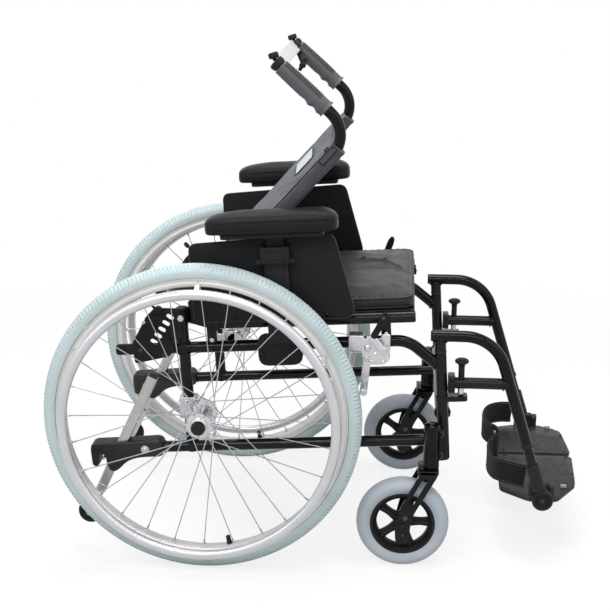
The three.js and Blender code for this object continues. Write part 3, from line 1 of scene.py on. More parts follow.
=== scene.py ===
"""Tilt-in-space wheelchair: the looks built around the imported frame.

Pieces are drawn in millimetres with X forward from the rear axle, Y to the sitter's left and Z up, and are
placed in metres in the frame's own axes. s is -1 on the sitter's right and 1 on the left.
"""

import math

import bmesh
import bpy
from mathutils import Matrix, Vector, noise
from mathutils.geometry import tessellate_polygon


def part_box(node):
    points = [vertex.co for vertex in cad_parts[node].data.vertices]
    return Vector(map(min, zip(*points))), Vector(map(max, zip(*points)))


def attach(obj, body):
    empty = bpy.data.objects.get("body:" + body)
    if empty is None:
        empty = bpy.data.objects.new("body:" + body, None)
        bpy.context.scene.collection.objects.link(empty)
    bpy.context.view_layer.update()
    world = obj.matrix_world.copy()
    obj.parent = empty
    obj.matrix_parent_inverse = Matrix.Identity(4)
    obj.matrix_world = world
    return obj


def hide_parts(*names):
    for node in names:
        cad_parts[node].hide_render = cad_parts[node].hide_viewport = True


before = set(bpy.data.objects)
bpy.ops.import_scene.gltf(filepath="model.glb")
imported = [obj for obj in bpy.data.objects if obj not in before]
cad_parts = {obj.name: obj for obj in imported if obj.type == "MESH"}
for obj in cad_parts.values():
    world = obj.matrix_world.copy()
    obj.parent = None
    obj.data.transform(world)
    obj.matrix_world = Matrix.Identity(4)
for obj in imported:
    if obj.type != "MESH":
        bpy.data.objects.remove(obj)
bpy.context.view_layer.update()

MM = 0.001
tyre_low, tyre_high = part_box("right_tyre")
AXLE_X = (tyre_low.x + tyre_high.x) / 2
SIDES = (("right", -1), ("left", 1))
SHARED_BODIES = ("base", "seat_unit", "backrest")

# Layout, as in the CAD source
PITCH = 3.5  # slope of base and seat in degrees
BASE_X, BASE_Z = -30, 220.6  # the rear upright's foot, where the base's own axes start
PLANE = 210  # from the chair's middle to each side frame
RAIL_PLANE = 205  # and to each seat rail
GUARD_PLANE = 241  # and to each skirt guard
WHEEL_Y = 278.5
CASTER_Y = 236.8
AXLE_Z = 303.5
TUBE = 11  # radius of the frame's tubes
UPPER = 202  # the base's upper rail above its lower one
FRONT = 489  # the front upright, along the rails
TILT = Vector((-46.117, 0, 484.107))
RAIL_Z = 467.007
HINGE = Vector((-18, 0, 510.007))
HEAD = Vector((447.343, 0, 426.125))
STEM_X = 435.131
SPOKES = 28


def move(x, y, z):
    return Matrix.Translation((x, y, z))


def turn(degrees):
    return Matrix.Rotation(math.radians(degrees), 4, "Y")


BASE = move(BASE_X, 0, BASE_Z) @ turn(-PITCH)
SEAT = Matrix.Translation(TILT) @ turn(-PITCH) @ Matrix.Translation(-TILT)
BACK = SEAT @ Matrix.Translation(HINGE) @ turn(45.6)
LEVEL = Matrix.Identity(4)


# ---------------------------------------------------------------- materials
def linear(red, green, blue):
    """A screen colour, 0 to 255, as the linear values that shaders take."""
    out = []
    for value in (red, green, blue):
        share = value / 255
        out.append(share / 12.92 if share < 0.04045 else ((share + 0.055) / 1.055) ** 2.4)
    return (*out, 1.0)


def feed(tree, owner, sockets):
    """Gives each socket of a node its plain value, or a link from the output named for it."""
    for key, value in sockets.items():
        if isinstance(value, bpy.types.NodeSocket):
            tree.links.new(value, owner.inputs[key])
        else:
            owner.inputs[key].default_value = value
    return owner


def node(tree, kind, sockets):
    return feed(tree, tree.nodes.new("ShaderNode" + kind), sockets)


def calc(tree, operation, first, second):
    made = tree.nodes.new("ShaderNodeMath")
    made.operation = operation
    return feed(tree, made, {0: first, 1: second}).outputs[0]


def ranged(tree, source, low, high, start=0.3, end=0.7, way="LINEAR"):
    """The source's values from start to end, spread from low to high."""
    made = tree.nodes.new("ShaderNodeMapRange")
    made.interpolation_type = way
    return feed(tree, made, {"Value": source, "From Min": start, "From Max": end,
                             "To Min": low, "To Max": high}).outputs["Result"]


def between(tree, share, low, high):
    """A colour between two."""
    made = tree.nodes.new("ShaderNodeMix")
    made.data_type = "RGBA"
    return feed(tree, made, {"Factor": share, "A": low, "B": high}).outputs["Result"]


def finish(name, screen, rough, metal, spec, vary, vary_size, scuff, grain=None, cells=False,
           stretch=None, weave=None, lean=0.0, wear=0.0, sheen=0.0):
    """A procedural material: mottled colour, uneven gloss, a grain or weave in its surface, worn edges.

    grain is a depth and a size in millimetres; weave is a depth and two axes with their scales; lean turns
    all the patterns about Y.
    """
    made = bpy.data.materials.new(name)
    made.use_nodes = True
    tree = made.node_tree
    colour = linear(*screen)[:3]
    place = node(tree, "TexCoord", {})
    mapping = node(tree, "Mapping", {"Vector": place.outputs["Object"],
                                     "Rotation": (0, math.radians(lean), 0)}).outputs[0]

    def cloud(scale, detail=3.0, vector=mapping):
        return node(tree, "TexNoise", {"Scale": scale, "Detail": detail, "Vector": vector}).outputs["Fac"]

    dark = tuple(c * (1 - vary) for c in colour) + (1,)
    light = tuple(min(1, c * (1 + vary) + 0.002 * vary) for c in colour) + (1,)
    tint = between(tree, ranged(tree, cloud(vary_size), 0, 1), dark, light)
    if wear:
        geometry = node(tree, "NewGeometry", {})
        edge = ranged(tree, geometry.outputs["Pointiness"], 0, wear, 0.53, 0.6)
        tint = between(tree, edge, tint, tuple(min(1, c * 2 + 0.05) for c in colour) + (1,))
    gloss = ranged(tree, cloud(vary_size * 2.3), max(0.02, rough - scuff), min(1, rough + scuff))
    shader = feed(tree, tree.nodes["Principled BSDF"], {
        "Metallic": metal, "Specular IOR Level": spec, "Sheen Weight": sheen, "Base Color": tint,
        "Roughness": gloss})
    if weave:
        depth, *lines = weave
        bands = []
        for axis, scale in lines:
            wave = tree.nodes.new("ShaderNodeTexWave")
            wave.bands_direction = axis
            bands.append(feed(tree, wave, {"Scale": scale, "Vector": mapping}).outputs["Fac"])
        height = calc(tree, "MULTIPLY", *bands)
    elif grain:
        depth, size = grain
        if cells:
            texture = tree.nodes.new("ShaderNodeTexVoronoi")
            texture.feature = "DISTANCE_TO_EDGE"
            feed(tree, texture, {"Scale": 1 / (size * MM), "Vector": mapping})
            height = ranged(tree, texture.outputs["Distance"], 0, 1, 0, 0.25)
        else:
            drawn = mapping
            if stretch:
                drawn = node(tree, "Mapping", {"Scale": stretch, "Vector": mapping}).outputs[0]
            height = cloud(1 / (size * MM), 4.0, drawn)
    if weave or grain:
        bump = node(tree, "Bump", {"Distance": depth * MM, "Strength": 1.0, "Height": height})
        feed(tree, shader, {"Normal": bump.outputs["Normal"]})
    return made


# name, screen colour, roughness, metal, specular, mottling and its scale, spread of roughness, grain
PAINT = finish("gloss_black_paint", (5, 5, 7), 0.1, 0, 0.18, 0.25, 40, 0.04, (0.01, 2.4), wear=0.2)
DOME = finish("gloss_hub_cap", (10, 10, 12), 0.1, 0, 0.3, 0.1, 90, 0.03, (0.01, 2))
PLASTIC = finish("black_moulded_plastic", (22, 22, 25), 0.48, 0, 0.16, 0.15, 40, 0.08, (0.05, 0.5), wear=0.2)
MOULD = finish("moulded_holder", (24, 24, 27), 0.34, 0, 0.36, 0.15, 40, 0.08, (0.04, 0.6), wear=0.2)
GUARD = finish("grained_guard_plastic", (24, 25, 28), 0.46, 0, 0.14, 0.12, 9, 0.06, (0.11, 0.9), cells=True, wear=0.3)
# light grey for the rim round the skirt guards: a painted highlight along their edges
EDGE_HIGHLIGHT = finish("painted_edge_highlight", (70, 71, 76), 0.22, 0, 0.6, 0.1, 60, 0.05, (0.02, 1))
PLATE = finish("grey_footplate_plastic", (32, 33, 37), 0.48, 0, 0.24, 0.15, 18, 0.1, (0.07, 0.5), wear=0.25)
CLIP = finish("grey_clip", (140, 143, 146), 0.5, 0, 0.4, 0.1, 80, 0.1, (0.04, 0.6))
RUBBER = finish("grip_rubber", (80, 80, 85), 0.5, 0, 0.3, 0.1, 30, 0.08, (0.02, 0.6))
RIDGES = finish("grip_ridge_rubber", (58, 56, 55), 0.6, 0, 0.25, 0.12, 40, 0.06, (0.02, 0.6))
DARKRUBBER = finish("dark_rubber", (26, 26, 29), 0.6, 0, 0.18, 0.2, 40, 0.1, (0.05, 0.4))
TYRE = finish("pale_tyre_rubber", (187, 202, 204), 0.7, 0, 0.3, 0.05, 16, 0.08, (0.12, 0.8))
CASTER = finish("grey_caster_rubber", (168, 176, 184), 0.5, 0, 0.4, 0.05, 24, 0.1, (0.05, 0.9))
SKIN = finish("seat_leatherette", (28, 28, 32), 0.4, 0, 0.24, 0.12, 14, 0.07, (0.09, 1.3), cells=True, sheen=0.05)
VINYL = finish("arm_pad_vinyl", (19, 20, 24), 0.4, 0, 0.15, 0.15, 22, 0.06, (0.07, 1.1), cells=True)
PIPING = finish("piping_cloth", (24, 24, 27), 0.45, 0, 0.25, 0.15, 40, 0.1, (0.05, 0.6))
STITCH = finish("stitching", (74, 75, 80), 0.7, 0, 0.2, 0.1, 40, 0.1, (0.03, 0.4))
CLOTH = finish("back_cloth", (88, 88, 93), 0.8, 0, 0.15, 0.13, 11, 0.05,
               weave=(0.16, ("X", 330), ("Y", 330)), lean=-42.1, sheen=0.15)
SLEEVE = finish("back_sleeve_cloth", (74, 74, 79), 0.8, 0, 0.15, 0.13, 13, 0.05,
                weave=(0.16, ("X", 330), ("Y", 330)), lean=-42.1, sheen=0.12)
WEBBING = finish("webbing", (27, 27, 30), 0.85, 0, 0.12, 0.2, 60, 0.1, weave=(0.3, ("Y", 210), ("Z", 520)), sheen=0.1)
PATCH = finish("blank_patch", (186, 196, 202), 0.45, 0, 0.4, 0.05, 60, 0.1, (0.03, 0.8))
BRIGHT = finish("bright_aluminium", (200, 201, 204), 0.28, 1.0, 0.5, 0.05, 50, 0.07, (0.015, 1.4))
BRUSHED = finish("brushed_bar", (186, 185, 182), 0.36, 0.85, 0.5, 0.06, 20, 0.06, (0.03, 0.5),
                 stretch=(0.06, 1, 0.06))
SATIN = finish("satin_bar", (204, 204, 203), 0.38, 0.6, 0.5, 0.04, 24, 0.06, (0.02, 0.6))
CAST = finish("cast_metal", (196, 196, 198), 0.33, 1.0, 0.5, 0.08, 70, 0.1, (0.06, 1.2), wear=0.2)
RIM = finish("rim_silver", (212, 211, 209), 0.4, 0.35, 0.5, 0.04, 20, 0.06)
HANDRIM = finish("handrim_silver", (200, 201, 204), 0.33, 0.6, 0.5, 0.04, 18, 0.05)
STEEL = finish("spoke_steel", (178, 180, 184), 0.25, 1.0, 0.5, 0.08, 30, 0.06, (0.01, 1))
ZINC = finish("zinc_bolt", (196, 200, 206), 0.3, 1.0, 0.5, 0.1, 150, 0.08, (0.03, 0.7))
DARKBOLT = finish("dark_bolt", (74, 75, 80), 0.32, 0.9, 0.5, 0.12, 120, 0.08, (0.03, 0.7))


# ---------------------------------------------------------------- outlines and paths
def circle(radius, count, x=0.0, z=0.0):
    return [(x + radius * math.cos(2 * math.pi * i / count), z + radius * math.sin(2 * math.pi * i / count))
            for i in range(count)]


def radial(angle):
    """The way outwards from a wheel's axle."""
    return Vector((math.cos(angle), 0, math.sin(angle)))


def rectangle(left, right, low, high):
    return [(left, low), (right, low), (right, high), (left, high)]


def mirrored(half):
    """A line of points and its mirror image, joined."""
    return half + [(u, -v) for u, v in reversed(half)]


def sided(profile, s):
    """A turned body's profile, pointing to the side s."""
    return [(radius, s * offset) for radius, offset in profile]


def rounded(points, radius, steps=5):
    """A closed outline with its corners rounded; radius is one number, or a list with one for each corner."""
    radii = radius if isinstance(radius, list) else [radius] * len(points)
    out = []
    for index, corner in enumerate(points):
        here = Vector(corner)
        before = Vector(points[index - 1]) - here
        after = Vector(points[(index + 1) % len(points)]) - here
        reach = min(radii[index], before.length / 2.02, after.length / 2.02)
        if reach < 0.05:
            out.append(tuple(here))
            continue
        start, end = here + before.normalized() * reach, here + after.normalized() * reach
        for step in range(steps + 1):
            t = step / steps
            out.append(tuple(start * (1 - t) ** 2 + here * 2 * t * (1 - t) + end * t ** 2))
    return out


def stadium(start, end, width, steps=9):
    """A bar with round ends."""
    a, b = Vector(start), Vector(end)
    heading = math.atan2(b.y - a.y, b.x - a.x)
    out = []
    for centre, first in ((b, heading - math.pi / 2), (a, heading + math.pi / 2)):
        for step in range(steps + 1):
            angle = first + math.pi * step / steps
            out.append((centre.x + width / 2 * math.cos(angle), centre.y + width / 2 * math.sin(angle)))
    return out


def inset(loop, amount):
    """The loop moved inwards by amount, or outwards where amount is negative."""
    count = len(loop)
    area = sum(loop[i - 1][0] * loop[i][1] - loop[i][0] * loop[i - 1][1] for i in range(count))
    sign = 1 if area > 0 else -1
    out = []
    for i in range(count):
        before = Vector(loop[i]) - Vector(loop[i - 1])
        after = Vector(loop[(i + 1) % count]) - Vector(loop[i])
        n1, n2 = (Vector((-run.y, run.x)).normalized() * sign for run in (before, after))
        bisector = n1 + n2
        bisector = bisector.normalized() if bisector.length > 1e-6 else n1
        out.append(tuple(Vector(loop[i]) + bisector * amount / max(0.5, bisector.dot(n1))))
    return out


def apart(loop, gap):
    """The loop without points that all but touch the one before."""
    out = []
    for point in loop:
        if not out or math.dist(point, out[-1]) > gap:
            out.append(point)
    if math.dist(out[0], out[-1]) < gap:
        out.pop()
    return out


def cut(loop, point, off):
    """The part of a loop that lies on the side of a line through point that off points to."""
    out = []
    for i, corner in enumerate(loop):
        here, nxt = Vector(corner), Vector(loop[(i + 1) % len(loop)])
        a, b = (here - point).dot(off), (nxt - point).dot(off)
        if a >= 0:
            out.append(tuple(here))
        if a * b < 0:
            out.append(tuple(here + (nxt - here) * (a / (a - b))))
    return out


def resample(loop, step):
    """Points at an even step round a closed loop."""
    out, carry = [], 0.0
    for i, a in enumerate(loop):
        b = loop[(i + 1) % len(loop)]
        span = (b - a).length
        at = carry
        while at < span:
            out.append(a + (b - a) * (at / span))
            at += step
        carry = at - span
    return out


def spline(knots, steps):
    """A smooth open curve through the knots."""
    out = []
    for i in range(len(knots) - 1):
        a, b, c, d = (knots[max(0, min(len(knots) - 1, i + k))] for k in (-1, 0, 1, 2))
        for step in range(steps):
            t = step / steps
            out.append(0.5 * ((2 * b) + (c - a) * t + (2 * a - 5 * b + 4 * c - d) * t * t
                              + (3 * b - a - 3 * c + d) * t ** 3))
    out.append(knots[-1])
    return out


def bent(points, radius):
    """A path of straight runs with round bends, in steps of about 5 degrees."""
    corners = [Vector(p) for p in points]
    out = [corners[0]]
    for index in range(1, len(corners) - 1):
        corner = corners[index]
        before = (corners[index - 1] - corner).normalized()
        after = (corners[index + 1] - corner).normalized()
        swing = math.pi - before.angle(after)
        centre = corner + (before + after).normalized() * (radius / math.cos(swing / 2))
        arm = corner + before * radius * math.tan(swing / 2) - centre
        hinge = before.cross(after).normalized()
        count = max(3, int(math.degrees(swing) / 5))
        out += [centre + Matrix.Rotation(-swing * i / count, 3, hinge) @ arm for i in range(count + 1)]
    out.append(corners[-1])
    return out


# ---------------------------------------------------------------- shapes
UP = (0, 0, 1)
PLANES = {"xz": lambda u, v, w: (u, w, v), "xy": lambda u, v, w: (u, v, w), "yz": lambda u, v, w: (w, u, v)}
AXES = {"x": ((1, 0, 0), (0, 1, 0), UP), "y": ((0, 1, 0), (1, 0, 0), UP), "z": (UP, (1, 0, 0), (0, 1, 0))}


def walls(faces, start, width, levels):
    """Adds the four-sided faces between closed rings of points that follow each other."""
    for level in range(levels):
        for i in range(width):
            a, b = start + level * width + i, start + level * width + (i + 1) % width
            faces.append((a, b, b + width, a + width))


def plate(outer, thickness, at, bevel, lie="xz", holes=()):
    """A plate with through holes, lying in the plane named, centred at one place across it.

    Small edges are cut at an angle, large ones are rounded.
    """
    half = thickness / 2
    bevel = min(bevel, half * 0.9)
    turns = [math.radians(a) for a in ((0, 30, 60, 90) if bevel > 1.5 else (0, 90))]
    levels = [(1 - math.cos(a), half - bevel + bevel * math.sin(a)) for a in turns]
    levels = [(share, -w) for share, w in reversed(levels)] + levels
    top = len(levels) - 1
    verts, faces, caps = [], [], {0: [], top: []}
    for loop, amount in [(outer, bevel)] + [(hole, -bevel) for hole in holes]:
        loop = apart(loop, bevel / 4)
        start, count = len(verts), len(loop)
        for share, w in levels:
            verts += [PLANES[lie](u, v, at + w) for u, v in inset(loop, amount * share)]
        walls(faces, start, count, top)
        for end in caps:
            caps[end].append((inset(loop, amount), start + end * count))
    for loops in caps.values():
        index = [start + i for loop, start in loops for i in range(len(loop))]
        if len(loops) == 1:
            faces.append(tuple(index))
        else:
            flat = [[Vector((u, v, 0)) for u, v in loop] for loop, _ in loops]
            faces += [tuple(index[i] for i in tri) for tri in tessellate_polygon(flat)]
    return verts, faces


def block(size, centre, corner, bevel, lie="xy"):
    """A block with rounded upright corners and bevelled rims; size is along X, Y and Z."""
    order = {"xy": (0, 1, 2), "xz": (0, 2, 1), "yz": (1, 2, 0)}[lie]
    a, b, c = (size[i] / 2 for i in order)
    u, v, w = (centre[i] for i in order)
    return plate(rounded(rectangle(u - a, u + a, v - b, v + b), corner, 4), 2 * c, w, bevel, lie)


def lathe(profile, centre, axis, sides, closed=False, shape=None):
    """A turned body from pairs of radius and offset along the axis, which is a letter or a direction."""
    if isinstance(axis, str):
        heading, first, second = (Vector(v) for v in AXES[axis])
    else:
        heading = Vector(axis).normalized()
        first = heading.cross(Vector(UP if abs(heading.z) < 0.9 else (1, 0, 0))).normalized()
        second = heading.cross(first)
    verts, rings = [], []
    for index, (radius, offset) in enumerate(profile):
        start, count = len(verts), 1 if radius < 1e-6 else sides
        for side in range(count):
            angle = 2 * math.pi * side / sides
            r, o = shape(index, side, radius, offset) if shape else (radius, offset)
            verts.append(Vector(centre) + heading * o + (first * math.cos(angle) + second * math.sin(angle)) * r)
        rings.append([start + side % count for side in range(sides)])
    faces = []
    for low, high in zip(rings, rings[1:] + (rings[:1] if closed else [])):
        for side in range(sides):
            nxt = (side + 1) % sides
            face = tuple(dict.fromkeys((low[side], low[nxt], high[nxt], high[side])))
            if len(face) > 2:
                faces.append(face)
    if not closed:
        faces += [tuple(end) for end in (rings[0], rings[-1]) if end[0] != end[1]]
    return verts, faces


def rod(start, end, radius, chamfer=0.7, sides=24):
    a, b = Vector(start), Vector(end)
    length = (b - a).length
    chamfer = min(chamfer, length / 3, radius * 0.6)
    return lathe([(0, 0), (radius - chamfer, 0), (radius, chamfer), (radius, length - chamfer),
                  (radius - chamfer, length), (0, length)], a, b - a, sides)


def pin(x, low, high, z, radius):
    """A rod across the chair."""
    return rod((x, low, z), (x, high, z), radius)


def ring(radius, thick, centre, axis, sides, around):
    return lathe(circle(thick, around, radius), centre, axis, sides, closed=True)


def washer(centre, heading, radius, thick, sides=24):
    return lathe([(radius, 0), (radius, thick), (0, thick)], centre, heading, sides)


def button(centre, heading, radius, height, socket=True):
    """A round bolt head, with a hexagon socket or plain."""
    profile = [(radius, -0.4), (radius, height * 0.3), (radius * 0.86, height * 0.75), (radius * 0.6, height)]
    if socket:
        profile += [(radius * 0.46, height), (radius * 0.42, height * 0.4), (0, height * 0.35)]
    else:
        profile += [(0, height * 1.05)]
    return lathe(profile, centre, heading, 24)


def hexagon(centre, heading, radius, height):
    return lathe([(0, -0.3), (radius, -0.3), (radius, height * 0.8), (radius * 0.86, height), (0, height)],
                 centre, heading, 6)


def weld(centre, heading, radius=TUBE + 0.6, thick=1.9):
    """The raised bead where a tube is welded to its neighbour."""
    def ripple(index, side, r, o):
        return r + 0.35 * math.sin(side * 2 * math.pi / 4.5), o
    return lathe(circle(thick, 8, radius), centre, heading, 60, closed=True, shape=ripple)


def sweep(points, section, across=(0, 1, 0), closed=False, chamfer=0.0, size=1.0):
    """A section, as pairs across and off the run, drawn along a path; a chamfer narrows the ends."""
    path = [Vector(p) for p in points]
    if chamfer:
        first = path[0] + (path[1] - path[0]).normalized() * chamfer
        last = path[-1] + (path[-2] - path[-1]).normalized() * chamfer
        path = [path[0], first] + path[1:-1] + [last, path[-1]]
    count, width = len(path), len(section)
    verts, faces = [], []
    for i, point in enumerate(path):
        before = path[i - 1] if i or closed else point
        after = path[(i + 1) % count] if i < count - 1 or closed else point
        heading = (after - before).normalized()
        wide = (Vector(across) - heading * heading.dot(Vector(across))).normalized()
        off = wide.cross(heading)
        scale = 1 - chamfer / size if i in (0, count - 1) else 1.0
        verts += [point + wide * u * scale + off * v * scale for u, v in section]
    walls(faces, 0, width, count - 1)
    ends = [tuple(range(width)), tuple((count - 1) * width + j for j in range(width))]
    if closed:
        faces += [(ends[1][j], ends[1][(j + 1) % width], (j + 1) % width, j) for j in range(width)]
    else:
        faces += ends
    return verts, faces


def tube(points, radius, bend=0, across=(0, 1, 0)):
    path = bent(points, bend) if len(points) > 2 else points
    return sweep(path, circle(radius, 28), across, chamfer=0.8, size=radius)


def strap(points, width, thick, across=(0, 1, 0), round_share=0.8):
    section = rectangle(-width / 2, width / 2, -thick / 2, thick / 2)
    return sweep(points, rounded(section, thick / 2 * round_share, 3), across)


def soft(size, cells, corner, shape):
    """A closed block of small faces, its upright corners rounded, with shape moving each point by its place."""
    index, verts = {}, []
    for i in range(cells[0] + 1):
        for j in range(cells[1] + 1):
            for k in range(cells[2] + 1):
                if 0 < i < cells[0] and 0 < j < cells[1] and 0 < k < cells[2]:
                    continue
                u, v, w = (2 * a / n - 1 for a, n in zip((i, j, k), cells))
                x, y, z = u * size[0] / 2, v * size[1] / 2, w * size[2] / 2
                over_x, over_y = abs(x) - (size[0] / 2 - corner), abs(y) - (size[1] / 2 - corner)
                if over_x > 0 and over_y > 0:
                    ease = max(over_x, over_y) / math.hypot(over_x, over_y)
                    x = math.copysign(size[0] / 2 - corner + over_x * ease, x)
                    y = math.copysign(size[1] / 2 - corner + over_y * ease, y)
                index[i, j, k] = len(verts)
                verts.append(shape(u, v, w, Vector((x, y, z))))
    faces = []
    for axis in range(3):
        b, c = (axis + 1) % 3, (axis + 2) % 3
        for end in (0, cells[axis]):
            for p in range(cells[b]):
                for q in range(cells[c]):
                    quad = []
                    for dp, dq in ((0, 0), (1, 0), (1, 1), (0, 1)):
                        key = [0, 0, 0]
                        key[axis], key[b], key[c] = end, p + dp, q + dq
                        quad.append(index[tuple(key)])
                    faces.append(tuple(quad))
    return verts, faces


class Piece:
    """Shapes gathered in one mesh that rides on a body and stands for a CAD node.

    A side's name goes before the names of piece, node and body, unless that body is a shared one.
    """

    def __init__(self, name, body, slot, node_name=None, at=LEVEL, side=None):
        before = f"{side}_" if side else ""
        self.name, self.slot, self.at = before + name, slot, at
        self.body = body if body in SHARED_BODIES else before + body
        self.nodes = [before + node_name] if node_name else []
        self.verts, self.faces, self.slots, self.materials = [], [], [], []

    def add(self, material, *shapes, at=None):
        if material not in self.materials:
            self.materials.append(material)
        for verts, faces in shapes:
            start = len(self.verts)
            self.verts += [(at or self.at) @ Vector(v) for v in verts]
            self.faces += [tuple(start + i for i in face) for face in faces]
            self.slots += [self.materials.index(material)] * len(faces)

    def build(self, sharp=38):
        mesh = bpy.data.meshes.new(self.name)
        mesh.from_pydata([(v.x * MM + AXLE_X, v.y * MM, v.z * MM) for v in self.verts], [], self.faces)
        for material in self.materials:
            mesh.materials.append(material)
        mesh.polygons.foreach_set("material_index", self.slots)
        work = bmesh.new()
        work.from_mesh(mesh)
        bmesh.ops.remove_doubles(work, verts=work.verts, dist=1e-7)
        bmesh.ops.recalc_face_normals(work, faces=work.faces)
        work.to_mesh(mesh)
        work.free()
        mesh.polygons.foreach_set("use_smooth", [True] * len(mesh.polygons))
        mesh.set_sharp_from_angle(angle=math.radians(sharp))
        made = bpy.data.objects.new(self.name, mesh)
        bpy.context.scene.collection.objects.link(made)
        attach(made, self.body)
        if self.nodes:
            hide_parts(*self.nodes)
        return made


# ---------------------------------------------------------------- base frame
def base_side(name, s):
    y, out = s * PLANE, (0, s, 0)
    piece = Piece("frame_tubes", "base", "frame_paint", "side_frame", BASE, name)
    piece.add(PAINT, tube([(-130, y, UPPER), (428, y, UPPER), (FRONT, y, 146)], TUBE, 58),
              tube([(-66, y, 0), (FRONT - 2, y, 0)], TUBE), tube([(FRONT, y, -38), (FRONT, y, 175.6)], TUBE),
              tube([(0, y, -9), (0, y, 280)], TUBE), block((60, 26, 10), (507, y, 85), 7, 1))
    piece.add(PLASTIC, rod((-131.5, y, UPPER), (-129, y, UPPER), 9.6), rod((FRONT, y, -40), (FRONT, y, -37), 9.8),
              lathe([(9.8, -2), (9.8, 1.5), (7, 3.6), (0, 4.2)], (0, y, 280), "z", 28))
    for x, z, heading in ((478.4, 0, "x"), (481.4, 153, (-0.74, 0, 0.68)), (0, 191.5, "z"), (0, 212.5, "z"),
                          (0, 10.6, "z")):
        piece.add(PAINT, weld((x, y, z), heading))
    for along in (56, 388):
        x = TILT.x + along
        piece.add(PAINT, block((19, 16, 44), (x, s * 207.5, RAIL_Z - 22.6), 3, 1), at=SEAT)
        piece.add(ZINC, button((x, s * 216, RAIL_Z - 30), out, 5, 3), at=SEAT)

    # the plate with its row of slots, by shares of its width and height
    def spot(a, b):
        return -98 + a * 102, 177 + b * 109
    outline = [(0, 0.36), (0.31, 0.845), (0.523, 1), (1, 0.975), (0.99, 0.47), (0.69, 0.11), (0.026, 0)]
    dx, dz = 3.5 * math.cos(math.radians(-33)), 3.5 * math.sin(math.radians(-33))
    slots = []
    for i in range(5):
        x, z = spot(0.425 + 0.343 * i / 4, 0.391 + 0.44 * i / 4)
        slots.append(stadium((x - dx, z - dz), (x + dx, z + dz), 8.4, 7))
    face = s * (PLANE + TUBE + 1)
    piece.add(PAINT, plate(rounded([spot(a, b) for a, b in outline], 6), 5, face, 0.8, holes=slots))
    for a, b in ((0.844, 0.4), (0.616, 0.164), (0.16, 0.246)):
        x, z = spot(a, b)
        piece.add(PAINT, washer((x, face + s * 2.5, z), out, 7, 1))
        piece.add(DARKBOLT, button((x, face + s * 2.5, z), out, 5, 4.2))
    piece.build()

    lever = Piece("tilt_lock_lever", "tilt_lever", "black_plastic", "tilt_lock", BASE, name)
    mid = s * (PLANE + TUBE + 9.8)
    lever.add(PLASTIC, plate(stadium((-59, 266), (-40, 284), 16), 12, mid, 2))
    lever.add(ZINC, pin(-46, mid - s * 11, mid + s * 7.4, 271, 3),
              rod((-59, mid, 266), (-73, mid, 259), 3, 1))
    lever.add(PAINT, hexagon((-46, mid + s * 6, 271), out, 5, 4), rod((-44, mid, 285), (-58, mid, 302), 2.4, 1))
    lever.add(DARKRUBBER, lathe([(2.6, 0), (4.6, 2), (4.8, 9), (3.2, 13), (0, 14)], (-54, mid, 297), (-14, 0, 17), 20))
    lever.build()

    bracket = Piece("axle_clamp", "base", "cast_metal", "axle_bracket", side=name)
    cx = BASE_X - (AXLE_Z - BASE_Z) * math.tan(math.radians(PITCH))
    stub = [(17, 217), (17, 227), (15.5, 229), (14, WHEEL_Y - 40.4), (0, WHEEL_Y - 40.4)]
    bracket.add(CAST, block((34, 29, 44), (cx, y, AXLE_Z), 5, 1.6),
                block((38, 8, 40), (-18, s * 221, AXLE_Z), 5, 1.4, "xz"),
                *(block((3.2, 2.4, 30), (x, s * 225.4, AXLE_Z), 1, 0.5) for x in (-28, -24, -20)),
                lathe(sided(stub, s), (0, 0, AXLE_Z), "y", 36))
    for z in (AXLE_Z - 14, AXLE_Z + 14):
        bracket.add(ZINC, button((cx - 4, s * 224.4, z), out, 5, 3.4),
                    hexagon((cx - 4, s * 195.5, z), (0, -s, 0), 5, 4))
    bracket.add(STEEL, pin(0, s * 218, s * (WHEEL_Y + 43), AXLE_Z, 6))
    bracket.build()


def cross_tubes():
    for name, along, up in (("middle", 178, 216), ("front", FRONT, 50)):
        piece = Piece("cross_member", "base", "frame_paint", "cross_tube", BASE, name)
        piece.add(PAINT, tube([(along, -198.7, up), (along, 198.7, up)], 14, across=UP),
                  *(weld((along, s * 196.5, up), "y", 14.2, 1.8) for s in (-1, 1)))
        piece.build()


